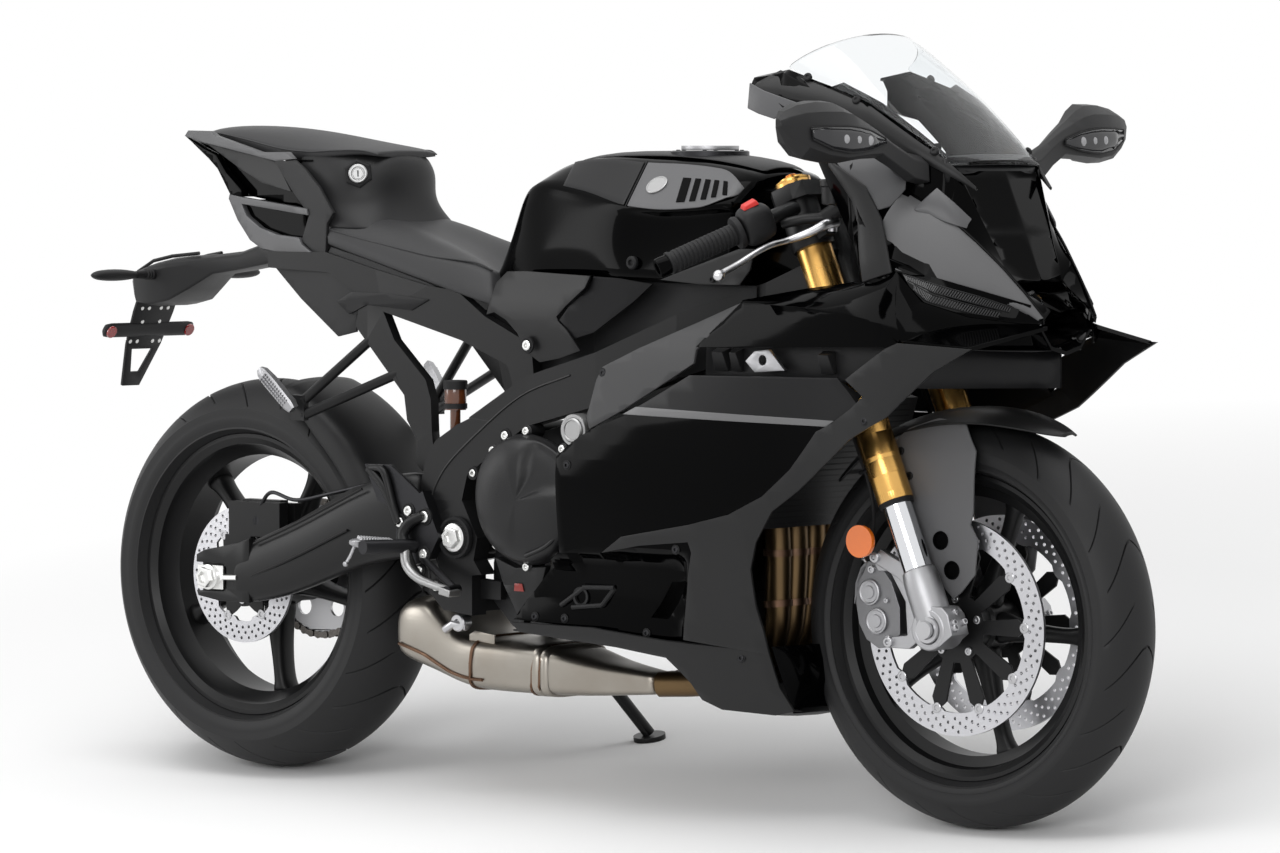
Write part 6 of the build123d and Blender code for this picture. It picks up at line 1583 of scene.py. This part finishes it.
def frame_details(side, word):
    """Bolts with their rings on the frame and the arm, and the frame's inner cover and lip."""
    steel, dark, rings = [], [], []
    for x, z, r, h in ((620, 560, 7, 5), (470, 372, 8, 6), (472, 430, 9, 7), (438, 438, 8, 6), (420, 420, 8, 6),
                       (478, 322, 8, 6), (446, 346, 6, 5), (666, 700, 8, 5), (555, 500, 6, 4)):
        y = node_side(["frame", "rearsets", "engine_covers", "subframe"], x, z, side, 150)
        steel.append(bolt((x, side * (y - 1), z), (0, side, 0), r, h))
        rings.append(lathe([(-2, r + 5), (1.2, r + 4.6), (1.6, r + 3), (0.6, r + 1), (0.6, 0.01)],
                           (x, side * y, z), (0, side, 0), 24))
    y = node_side(["swingarm_pivot", "frame"], 521, 399, side, 156)
    steel += [lathe([(-4, 22), (3, 22), (4, 20), (4, 0.01)], (521, side * y, 399), (0, side, 0), 36),
              lathe([(3, 17), (11, 17), (12.5, 15.5), (12.5, 10), (8, 9), (8, 0.01)], (521, side * y, 399),
                    (0, side, 0), 6)]
    rings.append(lathe([(-6, 33), (1, 32), (1, 28), (-3, 25), (-3, 0.01)], (521, side * y, 399), (0, side, 0), 40))
    y = node_side(["rear_axle", "swingarm"], 0, 315, side, 160)
    steel += [lathe([(-6, 20), (2, 20), (3, 18), (3, 0.01)], (0, side * y, 315), (0, side, 0), 36),
              lathe([(2, 16.5), (13, 16.5), (14.5, 15), (14.5, 10), (9, 9), (9, 0.01)], (0, side * y, 315),
                    (0, side, 0), 6),
              solid([[(-26, side * d, 296), (30, side * d, 296), (30, side * d, 334), (-26, side * d, 334)]
                    for d in (y - 9, y - 2)]),
              tube([(28, side * (y - 5), 315), (58, side * (y - 5), 316)], 4.5, 10)]
    merge("frame_bolts_" + word, steel, "bright_steel", sharp=30)
    merge("frame_rings_" + word, rings, "rubber", sharp=40)
    for x, z in ((60, 300), (104, 352)):
        y = node_side(["swingarm"], x, z, side, 130)
        dark.append(bolt((x, side * (y - 1), z), (0, side, 0), 7, 5))
    merge("arm_bolts_" + word, dark, "dark_alloy", sharp=30)
    panel("frame_inner_cover_" + word, [(764, 800), (1086, 796), (1086, 745), (1040, 735), (900, 700), (800, 648),
                                        (768, 690)], "matte_plastic", lambda x, z: 112, side, 0, 3, 1)
    edge = curve_points([(452, 338, 0), (446, 430, 0), (474, 500, 0), (540, 560, 0), (640, 628, 0),
                         (740, 662, 0)], 6)
    lip = []
    for p in edge:
        y = node_side(["frame"], p.x + 14, p.y - 6, side, 148)
        lip.append((p.x + 12, side * (y + 0.4), p.y - 6))
    merge("frame_lip_" + word, [tube(lip, 1.6, 6)], "satin_black")


def peg_grip(name, start, way, across, up, stations, corners, tooth, place, body="chassis", replaces=()):
    """A foot peg with teeth on top.  stations: (distance, half width, half height); corners as shares of the halves."""
    bar = [[start + way * d + across * (w * u) + up * (h * v) for u, v in corners] for d, w, h in stations]
    first, pitch, gap, high = place
    teeth = [lathe(tooth, start + way * (first + i * pitch) + across * (j * gap) + up * high, up, 6)
             for i in range(12) for j in (-1, 0, 1)]
    merge(name, [solid(bar)] + teeth, "cast_alloy", body, replaces, sharp=35)


def rearsets(side, word):
    start, end = Vector((444, side * 192, 384)), Vector((408, side * 268, 392))
    way = (end - start).normalized()
    up = Vector((0.15, 0, 1)).normalized()
    across = way.cross(up).normalized()
    peg_grip("rider_peg_" + word, start, way, across, up,
             ((0, 9, 8), (8, 11, 9), (16, 12, 7), (70, 11, 6.5), (82, 9, 5), (86, 5, 3)),
             ((-1, -0.4), (-0.6, -1), (0.6, -1), (1, -0.4), (1, 0.7), (0.7, 1), (-0.7, 1), (-1, 0.7)),
             [(0, 2.6), (4.6, 1.6), (4.6, 0.01)], (20, 4.6, 6.4, 6.5))
    feeler = [start + way * 78 - up * 4, start + way * 84 - up * 22, start + way * 90 - up * 34]
    ball = lathe([(-4.6, 0.01), (-3.3, 3.3), (0, 4.6), (3.3, 3.3), (4.6, 0.01)], feeler[-1], up, 14)
    merge("peg_feeler_" + word, [tube(feeler, 2.4, 8), ball], "cast_alloy")
    pedal = [(446, 186, 384), (452, 190, 356), (476, 194, 338), (512, 198, 328), (548, 202, 322), (566, 204, 318)]
    line = curve_points(flip(pedal, side), 5)
    n = len(line)
    shaft = tube(line, 7, 10, taper=[8 - 2.5 * min(1, i / n) for i in range(n)])
    tip = solid([flip(row, side) for row in (
        [(548, 196, 316), (570, 196, 312), (572, 196, 322), (550, 196, 328)],
        [(548, 224, 316), (570, 224, 312), (572, 224, 322), (550, 224, 328)])])
    merge("foot_lever_" + word, [shaft, tip], "satin_alloy", edge=1.5, sharp=40)
    arms = [tube(curve_points([(470, side * 172, 432), (446, side * 176, 420), (436, side * 180, 402),
                               (444, side * 184, 384)], 5), 9, 10),
            tube(curve_points([(478, side * 172, 324), (458, side * 178, 344), (448, side * 182, 366),
                               (444, side * 184, 384)], 5), 8.5, 10),
            tube(curve_points([(420, side * 172, 418), (392, side * 172, 470), (356, side * 170, 502)], 5), 7, 10),
            tube(curve_points([(420, side * 172, 418), (408, side * 172, 446), (388, side * 172, 498),
                               (356, side * 170, 502)], 5), 6, 10)]
    merge("rearset_arms_" + word, arms, "satin_black")
    heel = [(352, 508), (396, 505), (430, 466), (442, 446), (414, 416), (398, 432), (372, 474)]
    panel("heel_guard_" + word, heel, "satin_black", lambda x, z: 166, side, 0, 3, 1.2,
          holes=[[(372, 496), (392, 494), (418, 462), (402, 440), (384, 470)]])


def rear_end():
    """The plate holder with its indicators, the tail lamp, the hugger and the rear caliper."""
    rows = []
    for x, w, z0, z1 in ((-284, 46, 758, 796), (-270, 58, 748, 806), (-235, 64, 744, 816), (-196, 60, 752, 824),
                         (-160, 46, 772, 828), (-120, 32, 796, 830), (-60, 30, 804, 836), (-10, 32, 812, 850),
                         (40, 36, 820, 850)):
        half = [(0, z1), (w * 0.55, z1 - 1), (w * 0.92, z1 - 7), (w, z1 - 14 if z1 - z0 > 20 else (z0 + z1) / 2),
                (w * 0.9, z0 + 2), (w * 0.5, z0), (0, z0)]
        rows.append([(x, y, z) for y, z in half] + [(x, -y, z) for y, z in reversed(half[1:-1])])
    piece("plate_tray", *solid(rows), "satin_plastic", "chassis", ["plate_holder"], edge=3, sharp=35)
    ribs = [tube([(-276, side * 40, 800), (-235, side * 46, 818), (-196, side * 42, 826), (-150, side * 26, 831)], 3, 8)
            for side in (-1, 1)]
    merge("plate_tray_ribs", ribs, "satin_plastic")
    top, low = Vector((-268, 0, 770)), Vector((-340, 0, 608))
    way = (low - top).normalized()
    out = Vector((way.z, 0, -way.x))
    long = (low - top).length
    outline = [(-46, -0.06 * long), (46, -0.06 * long), (46, 0.22 * long), (40, 0.55 * long), (20, 0.98 * long),
               (-20, 0.98 * long), (-40, 0.55 * long), (-46, 0.22 * long)]
    window = [(-24, 0.60 * long), (24, 0.60 * long), (10, 0.84 * long), (-10, 0.84 * long)]
    work = flat_fill(outline, [window])
    verts = [top + way * v.co.y + Vector((0, v.co.x, 0)) for v in work.verts]
    faces = [[w.index for w in f.verts] for f in work.faces]
    work.free()
    piece("plate_bracket", verts, faces, "satin_plastic", thick=5, edge=1)
    bar = []
    for y, h, d in ((-104, 5, 3), (-100, 11, 6), (-88, 13, 7), (-50, 13, 6), (0, 12, 5), (50, 13, 6), (88, 13, 7),
                    (100, 11, 6), (104, 5, 3)):
        c = top + way * (0.40 * long) + out * -4
        bar.append([c + Vector((0, y, 0)) + way * (h * math.sin(a)) + out * (d * math.cos(a))
                    for a in angles(12)])
    merge("plate_bar", [solid(bar)], "satin_plastic", sharp=40)
    for side, word in SIDES:
        pod = []
        for y, w, h, x in ((96, 5, 5, -222), (108, 9, 7, -223), (130, 13, 10, -226), (160, 14, 10, -228),
                           (184, 11, 8, -228), (194, 6, 4, -227), (196, 2, 2, -227)):
            pod.append([(x + w * math.cos(a), side * y, 796 + h * math.sin(a)) for a in angles(14)])
        merge("rear_indicator_" + word, [solid(pod)], "satin_plastic", "chassis", ["rear_indicators"], subdiv=1)
        lens = [[(x - 3, side * y, z) for x, y, z in row] for row in (
            [(-236, 112, 792), (-242, 140, 790), (-244, 165, 790), (-238, 186, 792)],
            [(-238, 112, 796), (-245, 140, 796), (-247, 165, 796), (-241, 186, 796)],
            [(-236, 112, 800), (-242, 140, 802), (-244, 165, 802), (-238, 186, 800)])]
        piece("rear_indicator_lens_" + word, *grid(lens), "smoke_lens", thick=3, subdiv=1)
        stem = [(0, 8), (10, 9), (12, 7.5), (16, 9), (18, 7.5), (22, 9), (24, 7), (46, 6)]
        merge("rear_indicator_stem_" + word, [lathe(stem, (-222, side * 56, 796), (0, side, 0), 20)], "rubber",
              sharp=40)
        merge("plate_reflector_" + word, [lathe([(0, 10.5), (2, 10.5), (3, 9.5), (3, 0.01)],
                                                top + way * (0.40 * long) + Vector((0, side * 91, 0)) - out * 9.6,
                                                -out, 24)], "red_lens", sharp=30)
        dots = []
        for v, y in ((0.18, 14), (0.18, 30), (0.32, 20), (0.52, 18), (0.52, 34)):
            for back in (1, -1):
                at = top + way * (v * long) + Vector((0, side * y, 0)) + out * (back * 1.5)
                dots.append(lathe([(0, 4.4), (3, 4.2), (4, 3), (4, 0.01)], at, out * back, 12))
        merge("plate_bolts_" + word, dots, "bright_steel", sharp=30)
    lamp = [[(-113 + 6 * k + (abs(y) / 44) ** 2 * 10, y, z) for y in (-44, -22, 0, 22, 44)]
            for k, z in ((0, 1004), (1, 996), (4, 978), (8, 958))]
    piece("tail_lamp", *grid(lamp), "red_lens", "chassis", ["taillight"], thick=6, subdiv=1)
    rows = []
    for deg in (18, 26, 36, 48, 60, 70, 79):
        a = math.radians(deg)
        row = []
        skirt = 40 if deg > 30 else 22
        for y, dr in ((-96, -skirt), (-95, -14), (-86, -2), (-62, 5), (-30, 8), (0, 9), (30, 8), (62, 5), (84, -2),
                      (88, -14), (88, -skirt * 0.7)):
            r = 326 + dr
            row.append((r * math.sin(a), y, 315 + r * math.cos(a)))
        rows.append(row)
    guard = piece("hugger_shell", *grid(rows), "satin_plastic", "chassis", ["hugger"], subdiv=2)
    add_wall(guard, 3, 0)
    merge("rear_caliper_details", [
        lathe([(0, 21), (5, 20), (7, 17), (5, 14), (5, 8), (7, 7), (7, 0.01)], (52, -100, 405), (0, -1, 0), 28),
        bolt((24, -100, 416), (0, -1, 0), 6, 6), bolt((86, -100, 386), (0, -1, 0), 6, 6),
        tube(curve_points([(60, -104, 430), (92, -112, 452), (150, -116, 442), (230, -118, 456), (330, -112, 478)], 8),
             3.2, 8)], "dark_alloy", sharp=35)


def reservoir_cap():
    merge("reservoir_cap", [lathe([(628, 17), (628, 19), (640, 19), (642, 17.5), (642, 0.01)], (502, -131, 0),
                                  (0, 0, 1), 32),
                            lathe([(598, 17), (598, 18.6), (606, 18.6), (606, 17)], (502, -131, 0), (0, 0, 1), 32)],
          "rubber", sharp=35)


def swingarm_shells(side, word):
    """The cast arms' rounded outer skins."""
    rows = []
    for x, z0, z1, y0, y1 in ((44, 282, 361, 130, 157), (60, 279, 367, 126, 158), (72, 279, 371, 124, 158),
                              (84, 276, 378, 122, 158), (130, 284, 396, 120, 158), (189, 300, 419, 118, 158),
                              (250, 322, 449, 116, 158), (313, 345, 477, 114, 157), (370, 356, 492, 110, 155),
                              (415, 362, 498, 106, 152), (440, 366, 494, 104, 146)):
        h = z1 - z0
        rows.append([(x, side * y, z) for y, z in (
            (y0, z0 + h * 0.10), (y0 + 8, z0), (y1 - 6, z0 + 1), (y1, z0 + h * 0.16), (y1 + 1, z0 + h * 0.5),
            (y1 - 2, z0 + h * 0.82), (y1 - 12, z1 - 1), (y0 + 8, z1), (y0, z1 - h * 0.10))])
    piece("swingarm_skin_" + word, *solid(rows), "satin_black", subdiv=2)
    clevis = [(-32, 350), (-32, 338), (28, 337), (34, 330), (34, 298), (28, 293), (-32, 292), (-28, 284),
              (20, 277), (84, 277), (84, 380), (60, 372), (-14, 358)]
    panel("swingarm_end_" + word, clevis, "satin_black", lambda x, z: 157, side, 0, 12, 1.5, cell=40)
    fins = [tube(curve_points([(90, side * 157, 320), (180, side * 160, 352), (300, side * 160, 402)], 6), 2.2, 6),
            tube(curve_points([(96, side * 158, 372), (200, side * 159, 412), (330, side * 158, 468)], 6), 2.0, 6)]
    merge("swingarm_lines_" + word, fins, "satin_black")


CHAIN_PITCH = 15.875
REAR_TEETH = 43
REAR_CHAIN_R, FRONT_CHAIN_R = 108.7, 40.7
LINK = [(-6, 0), (-4.4, 4.4), (0, 6.2), (5, 4.4), (7.9, 4.2), (10.9, 4.4), (15.9, 6.2), (20.2, 4.4),
        (21.8, 0), (20.2, -4.4), (15.9, -6.2), (10.9, -4.4), (7.9, -4.2), (5, -4.4), (0, -6.2), (-4.4, -4.4)]


def chain_and_sprockets():
    """The chain's links set out along its path: round the rear sprocket, round the front one, and back."""
    rear, front = REAR_AXLE, Vector((597, 0, 405))
    r1, r2 = REAR_CHAIN_R, FRONT_CHAIN_R
    gap = front - rear
    base = math.atan2(gap.z, gap.x)
    lean = math.acos((r1 - r2) / gap.length)
    path = []
    up1, up2 = base + lean, base - lean
    for k in range(40):
        t = up1 + (TURN - 2 * lean) * k / 39
        path.append(rear + Vector((math.cos(t), 0, math.sin(t))) * r1)
    for k in range(20):
        t = up2 + 2 * lean * k / 19
        path.append(front + Vector((math.cos(t), 0, math.sin(t))) * r2)
    path.append(path[0])
    lengths = [0]
    for p, q in zip(path, path[1:]):
        lengths.append(lengths[-1] + (q - p).length)
    count = int(lengths[-1] / CHAIN_PITCH / 2) * 2
    pins = []
    k = 0
    for i in range(count):
        at = lengths[-1] * i / count
        while lengths[k + 1] < at:
            k += 1
        t = (at - lengths[k]) / max(lengths[k + 1] - lengths[k], 0.001)
        pins.append(path[k].lerp(path[k + 1], t))
    plates, rollers = [], []
    for i in range(count):
        p, q = pins[i], pins[(i + 1) % count]
        way = (q - p).normalized()
        side = Vector((-way.z, 0, way.x))
        out = 7.4 if i % 2 else 5.2
        for y0, y1 in ((CHAIN_Y - out, CHAIN_Y - out + 1.8), (CHAIN_Y + out - 1.8, CHAIN_Y + out)):
            plates.append(solid([[p + way * u + side * v + Vector((0, y, 0)) for u, v in LINK] for y in (y0, y1)]))
        rollers.append(lathe([(-7.8, 3.2), (7.8, 3.2)], p + Vector((0, CHAIN_Y, 0)), (0, 1, 0), 8))
    merge("chain_plates", plates, "gunmetal", "chassis", ["chain"], sharp=30)
    merge("chain_rollers", rollers, "steel", sharp=40)
    outline = round_points([112.5, 108.5, 104.4, 108.5] * REAR_TEETH)
    holes = [round_line(*polar(72, k * math.pi / 3), 15, 16) for k in range(6)]
    holes.append(round_line(0, 0, 42, 40))
    cut_plate("rear_sprocket_plate", outline, holes, 102, 107.5, "steel", "rear_wheel", (0, 315), ["rear_sprocket"],
              edge=0.5)
    nuts = []
    for k in range(6):
        x, z = polar(56, k * math.pi / 3 + 0.52)
        nuts.append(lathe([(0, 9), (7, 9), (8, 8), (8, 0.01)], (x, 107, 315 + z), (0, 1, 0), 6))
    merge("sprocket_nuts", nuts, "bright_steel", "rear_wheel", sharp=30)


def pegs_and_cooling():
    """The passenger pegs' grips and the radiator's slats."""
    for side, word in SIDES:
        start, end = Vector((205, side * 182, 590)), Vector((146, side * 199, 655))
        way = (end - start).normalized()
        up = Vector((0, side, 0))
        up = (up - way * up.dot(way)).normalized()
        peg_grip("passenger_peg_grip_" + word, start, way, way.cross(up), up,
                 ((0, 7, 7), (10, 10, 8), (60, 11, 7), (80, 9, 6), (87, 5, 3)),
                 ((-1, -1), (1, -1), (1, 0.6), (0.6, 1), (-0.6, 1), (-1, 0.6)),
                 [(0, 2.4), (3.6, 1.5), (3.6, 0.01)], (16, 5, 5.6, 6.4), "peg_" + word, ["passenger_peg_" + word])
    slats = []
    for i in range(22):
        z = 442 + i * 8.6
        x = 1134 + 0.318 * (z - 450)
        slats.append(block((x - 3, -138, z), (x + 1.2, 138, z + 2.2)))
    merge("radiator_slats", slats, "engine_black")


bpy.context.scene.view_settings.view_transform = "Standard"
for make in (make_materials, set_world, floor, lights, camera, dress_kept, wheels):
    make()
for side, word in SIDES:
    side_fairings(side, word)
belly()
fuel_tank()
for side, word in SIDES:
    tank_sides(side, word)
for make in (seats, tail, screen, cowl, running_lights, mirrors):
    make()
for side, word in SIDES:
    forks(side, word)
fender()
for side, word in SIDES:
    handlebars(side, word)
exhaust()
engine_cover()
for make_side in (frame_details, rearsets):
    for side, word in SIDES:
        make_side(side, word)
rear_end()
reservoir_cap()
for side, word in SIDES:
    swingarm_shells(side, word)
chain_and_sprockets()
pegs_and_cooling()
